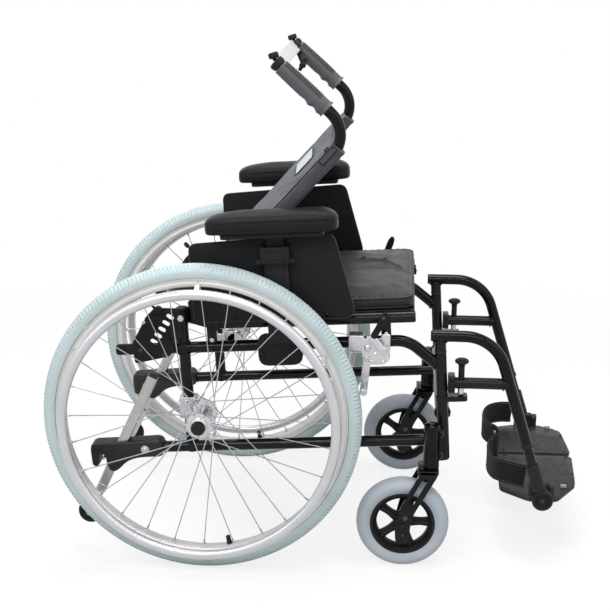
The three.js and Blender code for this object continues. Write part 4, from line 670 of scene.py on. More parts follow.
# ---------------------------------------------------------------- rear wheels
def rear_wheel(name, s):
    hub = Vector((0, s * WHEEL_Y, AXLE_Z))
    half = [(278.8, 16.2), (281.5, 17.1), (285.5, 17.45), (289.5, 17.3), (292.5, 16.4), (295.6, 14.9),
            (298.2, 12.9), (300.4, 10.2), (301.0, 8.2), (301.9, 6.9), (302.9, 5.1), (303.0, 4.2),
            (302.4, 3.7), (303.2, 2.6)]
    count = len(half)
    profile = half + [(303.4, 0)] + mirrored(half)[count:] + [(278.8, 0)]

    def tread(index, side, radius, offset):
        """Notches along the tyre's shoulders, and finer ones beside its middle rib."""
        near = index if index < count else 2 * count - index
        if 5 <= near <= 8:
            groove = (0, 0.1, 1.0, 1.0, 0.1, 0)[side % 6]
            return radius - 1.4 * groove, offset - math.copysign(1.1 * groove, offset)
        groove = (1, 0.3, 0, 0, 0.3, 1)[side % 6] if 9 <= near <= 11 else 0
        return radius - 0.5 * groove, offset
    tyre = Piece("tyre_rubber", "wheel", "pale_tyre", "tyre", side=name)
    tyre.add(TYRE, lathe(profile, hub, "y", 1440, True, tread))
    tyre.build(30)

    def lacing(i):
        """The side of the hub, the lead, the angle and the place across the rim of one spoke."""
        outward, leading = (1 if i % 2 == 0 else -1), (1 if i % 4 < 2 else -1)
        return outward, leading, 2 * math.pi * i / SPOKES, Vector((0, s * (outward * 4.6 + leading * 1.3), 0))
    rim = Piece("rim_hoop", "wheel", "rim_metal", "rim", side=name)
    rim.add(RIM, lathe(mirrored([
        (278.0, 10.5), (278.4, 14.2), (277.2, 15.1), (275.2, 15.0), (274.2, 14.3), (271.0, 14.3), (270.2, 14.9),
        (266.0, 14.9), (263.6, 13.6), (261.8, 10.8), (260.5, 6.8), (260.1, 3)]), hub, "y", 240, True))
    for i in range(SPOKES):
        _, _, angle, across = lacing(i)
        nipple = [(0, 0), (1.5, 0), (1.9, 2), (1.9, 8), (2.9, 9), (3.2, 12), (0, 12)]
        rim.add(STEEL, lathe(nipple, hub + across + radial(angle) * 250.5, radial(angle), 12))
    down = radial(math.radians(-79))
    valve = [(0, 0), (3.2, 0), (4.4, 1.2), (4.6, 12), (5.4, 13), (5.4, 17), (0, 17)]
    rim.add(PIPING, lathe(valve, hub + down * 243.5, down, 20))
    rim.build()

    spokes = Piece("hub_and_spokes", "wheel", "bright_metal", "spoked_hub", side=name)
    shell = [(7, -40), (22.5, -40), (25, -39.2), (25, -36), (22.5, -35.2), (16, -33.5), (14, -28), (13.2, 0),
             (14, 24), (17, 31), (22.5, 33.6), (25, 34.4), (25, 37.6), (22.8, 38.4), (16.5, 39.4), (16, 46),
             (15, 47), (13.9, 47), (13.5, 48)]
    cap = [(13.5, 47.4), (13.5, 53), (12.6, 55.2), (9.5, 56.5), (5, 57), (0, 57.1)]
    spokes.add(BRIGHT, lathe(sided(shell, s), hub, "y", 64),
               ring(13.9, 0.8, hub + Vector((0, s * 47.6, 0)), "y", 48, 10))
    spokes.add(DOME, lathe(sided(cap, s), hub, "y", 40))
    for flange in (36, -37.5):
        for i in range(SPOKES):
            spot = hub + radial(2 * math.pi * (i + 0.5) / SPOKES) * 22.2 + Vector((0, s * (flange + 1.2), 0))
            spokes.add(DARKRUBBER if i % 2 else STEEL, washer(spot, "y", 1.5, s * 0.9, 8))
    for i in range(SPOKES):
        outward, leading, angle, across = lacing(i)
        flange = (36 if outward > 0 else -37.5) + leading * 2.4
        start = hub + radial(angle + leading * math.radians(62)) * 22.8 + Vector((0, s * flange, 0))
        spokes.add(STEEL, rod(start, hub + radial(angle) * 252 + across, 1.05, 0.2, 8),
                   lathe([(0, 0), (2, 0), (1.8, 1.2), (0, 1.6)], start, (0, s * leading, 0), 10))
    spokes.build()

    hand = Piece("handrim_hoop", "wheel", "bright_metal", "handrim", side=name)
    lane = WHEEL_Y + 50
    hand.add(HANDRIM, ring(257, 9.5, (0, s * lane, AXLE_Z), "y", 200, 20))
    for i in range(6):
        angle = 2 * math.pi * (i + 0.5) / 6
        foot, knee, head = (radial(angle) * reach + Vector((0, s * aside, AXLE_Z)) for reach, aside in (
            (269, WHEEL_Y + 15.4), (268.5, WHEEL_Y + 27), (262, lane - 8)))
        hand.add(RIM, strap(bent([foot, knee, head], 5), 9, 2.4, radial(angle + math.pi / 2)))
        hand.add(STEEL, rod(foot + Vector((0, s * 0.4, 0)), foot + Vector((0, s * 2.2, 0)), 3.6))
    hand.build()


# ---------------------------------------------------------------- casters
def caster(name, s):
    y, out = s * CASTER_Y, (0, s, 0)
    bottom = 204.3
    upright_x = 458.088
    housing = Piece("caster_barrel", "base", "frame_paint", "caster_housing", side=name)
    barrel = [(7, 0), (15.2, 0), (15.5, 1), (15.5, 4), (15.1, 4.6), (15.1, 70), (15.5, 70.6), (15.5, 83),
              (14.6, 86), (11.5, 88), (6, 89), (0, 89.2)]
    housing.add(PAINT, lathe(barrel, (STEM_X, y, bottom), "z", 48),
                block((25, 7, 66), ((upright_x + STEM_X) / 2, s * 224.8, bottom + 41.5), 3, 1, "xz"))
    for z in (bottom + 19.5, bottom + 63.5):
        spot = (upright_x - 6.5, s * 228.2, z)
        housing.add(DARKBOLT, washer(spot, out, 7, 1))
        housing.add(PAINT, button(spot, out, 5.2, 4.4))
    housing.build()

    fork = Piece("caster_fork_body", "caster_swivel_fork", "frame_paint", "caster_fork", side=name)
    axle_x, axle_z = STEM_X - 52, 89.5
    knee, crown = Vector((axle_x + 8, axle_z + 32)), Vector((STEM_X - 5, 196))
    outline = [(crown.x - 19, 203.6), (crown.x - 17, 196), (knee.x - 13.5, knee.y + 5), (axle_x - 15, 86),
               (axle_x - 13, 56), (axle_x, 50), (axle_x + 13, 56), (axle_x + 15, 88),
               (knee.x + 13.5, knee.y - 6), (crown.x + 17, 193), (crown.x + 19, 203.6)]
    outline = rounded(outline, [2, 6, 8, 6, 14, 10, 14, 6, 8, 6, 2], 6)
    slot = stadium(knee.lerp(crown, 0.22), knee.lerp(crown, 0.82), 10)
    for flank in (-1, 1):
        face, side = y + flank * 28, (0, flank, 0)
        fork.add(PAINT, plate(outline, 4, y + flank * 26, 0.7, holes=[slot]),
                 washer((axle_x, face, axle_z), side, 8.2, 1.2),
                 hexagon((axle_x, face + flank * 0.6, axle_z), side, 6.4, 5))
        for dx, dz, r in ((1, -19, 3), (5, 17, 5.2)):
            fork.add(DARKBOLT, lathe([(r, 0), (r - 0.3, 0.8), (r - 1.4, 0.9), (r - 1.6, 0.2), (0, 0.2)],
                                     (axle_x + dx, face, axle_z + dz), side, 20))
    fork.add(PAINT, block((40, 56, 8), (crown.x, y, 200), 5, 1.6))
    fork.add(ZINC, rod((STEM_X, y, 198), (STEM_X, y, bottom + 60), 6),
             pin(axle_x, y - 27, y + 27, axle_z, 4))
    fork.build()

    centre = (axle_x, y, axle_z)
    tread = Piece("caster_tread", "caster", "caster_tyre", "caster_tyre", side=name)
    tread.add(CASTER, lathe(mirrored([(63, 16), (66.5, 18.2), (70.5, 20.2), (75, 21), (79.5, 20.4), (83.6, 18),
                                      (86.8, 14), (88.8, 8.6), (89.45, 3)]), centre, "y", 120, True))
    tread.build(40)
    wheel = Piece("caster_core", "caster", "black_plastic", "caster_wheel", side=name)
    rim = [(62.7, 16), (60, 16.4), (57, 16), (55.5, 13.5), (52, 11.5), (50.2, 8)]
    hub = [(5, 23.4), (13.5, 23.4), (15, 22), (15, 12), (17.5, 9)]
    wheel.add(PLASTIC, lathe(mirrored(rim), centre, "y", 96, True), lathe(mirrored(hub), centre, "y", 40, True))
    arm = rounded(mirrored([(12, -9.5), (34, -6), (53, -9)]), [0, 10, 0, 0, 10, 0])
    for i in range(5):
        wheel.add(PLASTIC, plate(arm, 13, 0, 2.4), plate(rectangle(14, 52, -2.2, 2.2), 18, 0, 1.2),
                  at=move(*centre) @ turn(72 * i))
    wheel.build()


# ---------------------------------------------------------------- wheel locks
def wheel_lock(name, s):
    out = (0, s, 0)
    rail = BASE @ Vector((356, 0, UPPER))
    mid_z = rail.z - 7.5
    face = PLANE + TUBE + 7
    piece = Piece("brake_bracket", "base", "cast_metal", "brake_plate", side=name)
    outline = [(-39, 17), (-39, -11), (-15, -12), (-11, -32), (-2, -39), (27, -39), (39, -29), (39, 21), (24, 22),
               (21, 13), (-3, 11), (-9, 11), (-11, 17)]
    outline = rounded([(rail.x + u, rail.z + v) for u, v in outline], [4, 4, 4, 8, 8, 8, 8, 4, 4, 4, 4, 4, 3])
    holes = [circle(3, 16, rail.x + 11, mid_z - 9)] + [circle(2.4, 14, rail.x + u, mid_z - 24) for u in (5, 26)]
    clamp_z = rail.z - 25 * math.tan(math.radians(PITCH))
    band = rounded(rectangle(PLANE - 17, PLANE + 19, clamp_z - 17.5, clamp_z + 17.5), 9, 6)
    band, bore = ([(s * u, v) for u, v in loop] for loop in (band, circle(TUBE + 0.4, 32, PLANE, clamp_z)))
    piece.add(CAST, plate(outline, 4, s * (face + 2), 0.8, holes=holes),
              plate(band, 28, rail.x - 25, 1.4, "yz", [bore]))
    for x, z in ((rail.x - 3.5, rail.z - 6), (rail.x + 29, rail.z - 7)):
        piece.add(ZINC, washer((x, s * (face + 4), z), out, 9, 1.3, 28), button((x, s * (face + 5.2), z), out, 6.4, 4))
    lever_x, lever_z, lever_plane = rail.x + 29.25, rail.z - 4, GUARD_PLANE + 5.8
    piece.add(ZINC, pin(lever_x, s * face, s * (lever_plane + 3), lever_z, 3.5))
    piece.build()

    lever = Piece("brake_handle", "brake_hand_lever", "black_plastic", "brake_lever", side=name)
    low = [(lever_x - 8, lever_z - 6), (lever_x + 8, lever_z - 6), (rail.x + 9, rail.z + 24), (rail.x - 8, rail.z + 20)]
    lever.add(CAST, plate(rounded(low, [7, 7, 4, 4]), 4, s * (lever_plane - 0.6), 1))
    # the far handle stands higher in the photo
    a = Vector((rail.x + 6, rail.z + 18))
    b = Vector((lever_x, lever_z)) + Vector((6, 98) if s > 0 else (0, 67.5))
    d = (b - a).normalized()
    n = Vector((-d.y, d.x))
    grip_outline = [a + n * 6.5, a - n * 6.5, b - n * 7.5 - d * 8, b - n * 4 + d * 5, b + n * 4 + d * 6,
                    b + n * 7.5 - d * 6, a + d * 25 + n * 5.5]
    lever.add(PLASTIC, plate(rounded(grip_outline, 6, 6), 6, s * lever_plane, 2.6))
    lever.add(DARKBOLT, button((b.x - 3.5, s * (lever_plane + 2.6), b.y - 6), out, 3.6, 2))
    lever.build()

    shoe = Piece("brake_arm_and_roller", "brake_arm", "cast_metal", "brake_shoe", side=name)
    arm_x, arm_z, arm_plane = rail.x - 4, mid_z - 22, face + 6.9
    drop = arm_z - 46
    roller_x = math.sqrt((AXLE_Z + 7.8) ** 2 - (drop - AXLE_Z) ** 2)
    shoe.add(CAST, plate(stadium((arm_x, arm_z), (roller_x, drop), 14.5), 5, s * arm_plane, 0.9,
                         holes=[circle(3.9, 16, arm_x, arm_z)]))
    shoe.add(ZINC, button((roller_x, s * (arm_plane - 2.4), drop), (0, -s, 0), 5, 3))

    def knurl(index, side, radius, offset):
        """Grooves along the roller."""
        return radius - (0.5 if 2 <= index <= 7 and radius > 5 and side % 4 < 2 else 0), offset
    roll = [(0, 0), (6.4, 0), (7, 1), (7, 14), (7, 28), (7, 42), (7, 48), (6.9, 50), (5.5, 51), (5.5, 53), (0, 53)]
    shoe.add(STEEL, lathe(sided(roll, s), (roller_x, s * (arm_plane + 2), drop), "y", 64, shape=knurl))
    shoe.build()


# ---------------------------------------------------------------- footrests
HANG = math.radians(72.6)
HANG_Z = HEAD.z + 32.5


def hang(reach, y=0.0):
    """A place on the hanger's sloping tube, by its distance from the upper bend."""
    return Vector((HEAD.x + 103 + reach * math.cos(HANG), y, HANG_Z - reach * math.sin(HANG)))


FOOT = hang(342)
PLATE_TOP = FOOT.z + 9.7
FOOT_HINGE = FOOT.z + 17.7
FOLD = 120  # where the footplate folds down, from the chair's middle


def droop(v):
    """How far the footplate's outer part lies below its inner part."""
    return 12 * max(0.0, (v - FOLD) / 77)


def folded_board(outline, s):
    """The footplate: flat inside, folded down at its outer part."""
    fine = []
    for i, point in enumerate(outline):
        nxt = outline[(i + 1) % len(outline)]
        fine.append(point)
        if (point[1] - FOLD) * (nxt[1] - FOLD) < 0:
            t = (FOLD - point[1]) / (nxt[1] - point[1])
            fine.append((point[0] + (nxt[0] - point[0]) * t, float(FOLD)))
    count = len(fine)
    marks = [i for i in range(count) if abs(fine[i][1] - FOLD) < 1e-6]
    small = [(u, float(FOLD) if i in marks else v) for i, (u, v) in enumerate(inset(fine, 1.6))]
    verts, faces = [], []
    for loop, z in ((small, -10), (fine, -8.4), (fine, -1.6), (small, 0)):
        verts += [(u, s * v, PLATE_TOP + z - droop(v)) for u, v in loop]
    walls(faces, 0, count, 3)
    i, j = marks
    for start in (0, 3 * count):
        faces += [tuple(start + k for k in range(i, j + 1)), tuple(start + k % count for k in range(j, count + i + 1))]
    return verts, faces


def footrest(name, s):
    y, out, lane = s * PLANE, (0, s, 0), s * 190

    def post(up):
        """A place on the front upright, which carries the hanger."""
        return BASE @ Vector((FRONT, y, up))
    piece = Piece("hanger_tubes", "footrest", "frame_paint", "hanger", side=name)
    bar_z, latch_x = HEAD.z - 60, post(116).x
    joint = hang(92.5 / math.sin(HANG), y)
    piece.add(PAINT, tube([(HEAD.x - 18, y, HANG_Z), hang(0, y), hang(227, y)], TUBE, 80),
              tube([hang(224, y), hang(338, y)], 9.5), rod(post(176.6), post(204), TUBE), weld(post(197.6), "z"),
              rod((latch_x + 19, y, bar_z), joint, TUBE), weld(joint - Vector((11.6, 0, 0)), "x"),
              block((13, 33, 34), (latch_x + 18.6, y, bar_z), 6, 1.4, "yz"),
              *(button((latch_x + 18, y + s * 16.2, bar_z + dz), out, 3.4, 2) for dz in (-9.5, 9.5)))
    disc = [(0, 197.8), (18, 197.8), (20.5, 199.5), (20.5, 220), (19, 222), (13, 222.4), (12.4, 221.4),
            (11.6, 221.4), (11, 222.4), (0, 222.6)]
    bottom, top = PLATE_TOP - droop(183) + 0.8, FOOT_HINGE + 9
    piece.add(PLASTIC, rod((HEAD.x - 19.4, y, HANG_Z), (HEAD.x - 17, y, HANG_Z), 9.8),
              rod(hang(222, y), hang(231, y), 12, 1.4), rod(hang(266, y), hang(323, y), 13, 1.6),
              lathe(sided(disc, s), (FOOT.x, 0, FOOT.z), "y", 48),
              block((28, 17, top - bottom), (FOOT.x, s * 191.5, (top + bottom) / 2), 3, 1.2))
    piece.add(DARKBOLT, lathe([(7, 0), (11.6, 0), (11.8, 0.5), (11.6, 1.2), (7, 1.2)], post(177), "z", 36),
              button((FOOT.x, s * 222, FOOT.z), out, 3, 1.2))
    piece.add(ZINC, rod(post(144), post(178), 6),
              rod((FOOT.x - 24, lane, FOOT_HINGE), (FOOT.x + 24, lane, FOOT_HINGE), 4))
    piece.build()

    knob = Piece("latch_plunger", "latch", "black_plastic", "latch_knob", side=name)
    x, head_z = HEAD.x + 40.7, bar_z + 41
    low = (BASE @ Vector((FRONT + 48, 0, 90))).z + 0.3
    knob.add(ZINC, rod((x, y, low), (x, y, bar_z + 4), 6, 1.5))
    knob.add(PAINT, rod((x, y, bar_z + 4), (x, y, head_z - 2), 6))
    knob.add(PLASTIC, lathe([(6, -8), (6.6, -4), (9, -2), (12.6, 0), (13.4, 2), (12.6, 5), (9, 7.2), (4, 8), (0, 8)],
                            (x, y, head_z), "z", 36))
    knob.build()

    board = Piece("footplate_board", "foot_support", "grey_plastic", "footplate", side=name)
    rear_x = FOOT.x - 79
    shares = [(0, 0), (0.96, 0), (1, 0.04), (0.95, 0.72), (0.7, 1), (0.33, 1), (0, 0.82)]
    board.add(PLATE, folded_board(rounded([(rear_x + a * 158, 8 + b * 189) for a, b in shares], 8, 6), s))
    ribs = [rear_x + first + span * i / 11 for first, span in ((12, 54), (82, 60)) for i in range(12)]
    board.add(PLATE, *(block((2, 90, 1.3), (x, s * 65, PLATE_TOP + 0.35), 0.9, 0.5) for x in ribs),
              *(strap([(x, s * 122, PLATE_TOP - 0.1), (x, s * 168, PLATE_TOP - 7.4)], 2.4, 1.2, (1, 0, 0))
                for x in ribs[1::3] if abs(x - FOOT.x) > 30))
    screw = [(3.4, 0), (3.4, 0.5), (2.6, 0.6), (2.2, 0.1), (0, 0.1)]
    for u, v in ((20, 14), (146, 16), (148, 104)):
        board.add(DARKRUBBER, lathe(screw, (rear_x + u, s * v, PLATE_TOP), "z", 20))
    low = PLATE_TOP - 22
    for inner, outer in ((FOOT.x - 14.3, FOOT.x - 24.3), (FOOT.x + 14.3, FOOT.x + 24.3)):
        board.add(PLATE, rod((inner, lane, FOOT_HINGE), (outer, lane, FOOT_HINGE), 9, 1.2),
                  block((10, 14, FOOT_HINGE - low), ((inner + outer) / 2, lane, (FOOT_HINGE + low) / 2), 2, 1))
    board.add(CLIP, block((12, 5, 7), (FOOT.x + 46, s * 160, PLATE_TOP - 3), 1.5, 1))
    board.build()

    shares = [(0.38, 0), (0.07, 0.24), (0, 0.51), (0.16, 0.79), (0.56, 0.94), (1, 1)]
    knots = [Vector((rear_x - 21 + a * 68, s * (16 + b * 164), PLATE_TOP + 25.3)) for a, b in shares]
    webbing = Piece("heel_strap", "foot_support", "webbing", "heel_loop", side=name)
    path = [p + Vector((0, 0, 1.6 * math.sin(i * 0.21))) for i, p in enumerate(spline(knots, 10))]
    webbing.add(WEBBING, strap(path, 47, 2.8, UP))
    webbing.add(STITCH, *(strap([p + Vector((0, 0, edge)) for p in path], 1.1, 3.6, UP) for edge in (-20, 20)))
    a, b = path[2], path[5]
    webbing.add(DARKRUBBER, strap([a, (a + b) / 2, b], 49.5, 5.6, UP, 0.4))
    webbing.add(ZINC, *(button(a + Vector((-1.4, 0, dz)), (-1, -s * 0.6, 0), 3.2, 2) for dz in (12, -12)))
    cloth = webbing.build()


# ---------------------------------------------------------------- anti-tippers
LEAN = math.radians(65)


def tip(reach, off=0.0):
    """A place on the anti-tipper's strut, as X and Z: so far down it, and so far off its middle line."""
    return (-104 - reach * math.cos(LEAN) - off * math.sin(LEAN), 362 - reach * math.sin(LEAN) + off * math.cos(LEAN))


def antitip(name, s):
    y, out = s * PLANE, (0, s, 0)

    def on(reach):
        """A place on the strut's middle line."""
        x, z = tip(reach)
        return Vector((x, y, z))
    shell = Piece("antitip_holder", "base", "black_plastic", "antitip_bracket", BASE, name)
    outline = [(-200, 4), (-198, 13), (-190, 16), (-125, 17), (-64, 19), (-56, 12), (-56, -11), (-64, -15),
               (-96, -15), (-116, -18), (-132, -25), (-145, -38), (-155, -44), (-165, -42), (-170, -28), (-172, -8),
               (-183, -8), (-185, -29), (-191, -33), (-199, -29)]
    outline = rounded(outline, [8, 5, 8, 20, 7, 7, 5, 5, 20, 20, 16, 8, 5, 5, 8, 3, 3, 4, 3, 5])
    shell.add(MOULD, *(plate(outline, 7.6, y + flank * 14.2, 3.2) for flank in (-1, 1)))
    # the middle, open where the strut passes
    a, b = (BASE.inverted() @ on(reach) for reach in (0, 272))
    run = Vector((b.x - a.x, b.z - a.z)).normalized()
    for off in (Vector((run.y, -run.x)), Vector((-run.y, run.x))):
        part = cut(outline, Vector((a.x, a.z)) + off * 10.6, off)
        if len(part) > 3:
            shell.add(PLASTIC, plate(part, 22.2, y, 0.2))
    shell.add(PLASTIC, *(ring(11.6, 1.3, (x, y, 0), "x", 40, 8) for x in (-86, -54)))
    head = y + s * 18
    shell.add(ZINC, lathe([(8, -0.5), (8, 1.2), (0, 1.2)], (-91, head, 2), out, 28),
              button((-91, head + s * 0.8, 2), out, 5.4, 4), pin(-176, y - 17, y + 17, -16, 2.6))
    shell.build()

    bar = Piece("antitip_strut", "antitip_slide", "bright_metal", "antitip_bar", side=name)
    bar.add(BRUSHED, strap([on(0), on(264)], 20, 20, round_share=0.35),
            strap([on(248), on(269)], 24, 14, round_share=0.3))
    bar.add(PLASTIC, strap([on(-1.5), on(1)], 17, 17, round_share=0.4))
    for reach in (30, 60, 90):
        spot = on(reach) - Vector((0, s * 10, 0))
        bar.add(DARKRUBBER, lathe([(3.6, 0), (3.2, 0.5), (0, 0.5)], spot, (0, -s, 0), 18))
    hub = on(314)
    cheek = rounded([tip(*p) for p in ((246, -7.5), (246, 7.5), (300, 8), (320, 6), (322, -6), (300, -8))], 3, 4)
    for flank in (-1, 1):
        bar.add(BRUSHED, plate(cheek, 4, y + flank * 13.8, 0.8))
        bar.add(ZINC, hexagon((hub.x, y + flank * 15.6, hub.z), (0, flank, 0), 5, 4))
    bar.add(ZINC, pin(hub.x, y - 13, y + 13, hub.z, 4))
    bar.build()
    wheel = Piece("antitip_tread", "antitip_roller", "black_plastic", "antitip_wheel", side=name)
    half = [(4.6, 11), (9, 11), (10, 9.6), (17, 9.6), (18.5, 11), (21, 11), (23.6, 9), (25, 4)]
    wheel.add(DARKRUBBER, lathe(mirrored(half), hub, "y", 64, True))
    wheel.build()


# ---------------------------------------------------------------- seat
def seat_frame():
    piece = Piece("seat_frame_tubes", "seat_unit", "frame_paint", "seat_frame", SEAT)
    for s in (-1, 1):
        y, out = s * RAIL_PLANE, (0, s, 0)
        piece.add(PAINT, rod((4, y, RAIL_Z), (397, y, RAIL_Z), TUBE), block((24, 28, 6), (16, y, RAIL_Z + 5), 2, 0.8),
                  *(plate(stadium((HINGE.x, HINGE.z), (16, RAIL_Z), 24), 5, s * (RAIL_PLANE + off), 0.8)
                    for off in (-14.3, 14.3)),
                  plate(stadium((TILT.x, TILT.z), (4, RAIL_Z), 30), 6, s * (RAIL_PLANE - 18.3), 1),
                  hexagon((HINGE.x, s * 221.6, HINGE.z), out, 6, 4),
                  *(block((14, 12, 26), (x, y, RAIL_Z + 13), 2, 1) for x in (60, 234)))
        piece.add(PLASTIC, rod((396, y, RAIL_Z), (398.4, y, RAIL_Z), 9.8))
        piece.add(ZINC, pin(TILT.x, s * 186, s * 221, TILT.z, 5),
                  hexagon((TILT.x, s * 220.5, TILT.z), out, 7, 5),
                  pin(HINGE.x, s * 188, s * 222, HINGE.z, 4))
    piece.add(PAINT, *(tube([(x, -RAIL_PLANE, RAIL_Z), (x, RAIL_PLANE, RAIL_Z)], TUBE, across=UP) for x in (60, 320)),
              block((393, 410, 6), (200.5, 0, RAIL_Z + 11), 6, 1.4))
    piece.build()


# folds in the cushion's cover: from, to, half width, height
FOLDS = (((-120, 62), (20, 66), 7, 2.6), ((20, 66), (84, 68), 5, 4.4), ((84, 68), (130, 51), 4.5, 5.2),
         ((130, 51), (157, 15), 4.5, 5.0), ((157, 15), (182, -26), 5, 3.2), ((62, -22), (128, 47), 6, 1.6),
         ((20, -110), (90, -150), 14, 1.4), ((-60, -100), (0, -140), 16, 1.4), ((60, 120), (140, 110), 14, 1.6),
         ((150, -120), (176, -150), 8, 1.4))
# folds low on the back cover, by place across and height
BACK_FOLDS = (((-206, 318), (-128, 262), 4.5, 3.0), ((-204, 286), (-150, 258), 4, 2.6),
              ((-150, 300), (-96, 250), 6, 2.2), ((206, 310), (130, 258), 5, 2.6),
              ((196, 276), (146, 246), 5, 2.2), ((-60, 250), (40, 262), 9, 1.6))


def folded(u, v, folds):
    """The height that a table of folds gives at one place; each has a narrow crest."""
    height = 0.0
    for a, b, size, deep in folds:
        run = (b[0] - a[0], b[1] - a[1])
        t = max(0.0, min(1.0, ((u - a[0]) * run[0] + (v - a[1]) * run[1]) / (run[0] ** 2 + run[1] ** 2)))
        off = math.hypot(u - a[0] - run[0] * t, v - a[1] - run[1] * t)
        if off < size * 5:
            height += deep * math.exp(-(off / size) ** 1.35)
    return height

def seat_cushion():
    piece = Piece("seat_cushion_pad", "seat_unit", "seat_cloth", "seat_cushion", SEAT)
    bottom = RAIL_Z + 14.3
    length, width, high = 371, 396, 21
    place = SEAT @ move(211.5, 0, bottom + high / 2)

    def shape(u, v, w, p):
        rim = max(abs(u), abs(v))
        p.x *= 1 - 0.35 * w * w * 0.045
        p.y *= 1 - 0.35 * w * w * 0.04
        if w > 0:
            swell = 11 * (1 - u ** 6) * (1 - v ** 6)
            crease = -2.5 * math.exp(-((p.y + 10) / 16) ** 2) * (1 - u ** 4)
            wave = 1.6 * math.sin(3.1 * u + 1.4 * v) * (1 - rim ** 2)
            grain = noise.noise(Vector((p.x, p.y, 0)) / 60) + 0.2 * noise.noise(Vector((p.x, p.y, 9)) / 17)
            p.z += w * (swell + crease + wave + (folded(p.x, p.y, FOLDS) + grain) * (1 - rim ** 6))
        return p
    piece.add(SKIN, soft((length, width, high), (160, 170, 6), 26, shape), at=place)
    u, v = length / 2 - 2, width / 2 - 2
    edge = rounded(rectangle(-u, u, -v, v), 28, 10)
    for z in (high / 2 - 1.2, -high / 2 + 2.2):
        piece.add(PIPING, sweep([(u, v, z) for u, v in edge], circle(2.1, 10), UP, closed=True), at=place)
    for amount, z, share, thick in ((9, high / 2 + 3.2, 0.8, 0.55), (-2.4, 5.2, 0.75, 0.5)):
        dots = resample([Vector((u, v, z)) for u, v in inset(edge, amount)], 7.0)
        stitches = [rod(a, a + (b - a) * share, thick, 0.2, 5) for a, b in zip(dots[::2], dots[1::2])]
        piece.add(STITCH, *stitches, at=place)
    pad = piece.build(60)
    # hook-and-loop tab at the front edge
    tab = Piece("seat_front_tab", "seat_unit", "black_plastic", at=SEAT)
    tab.add(PLASTIC, block((5, 26, 16), (399.5, 60, bottom + 9), 3, 1.4, "yz"))
    tab.add(ZINC, button((402, 60, bottom + 9), (1, 0, 0), 4, 2.2, False))
    tab.build()


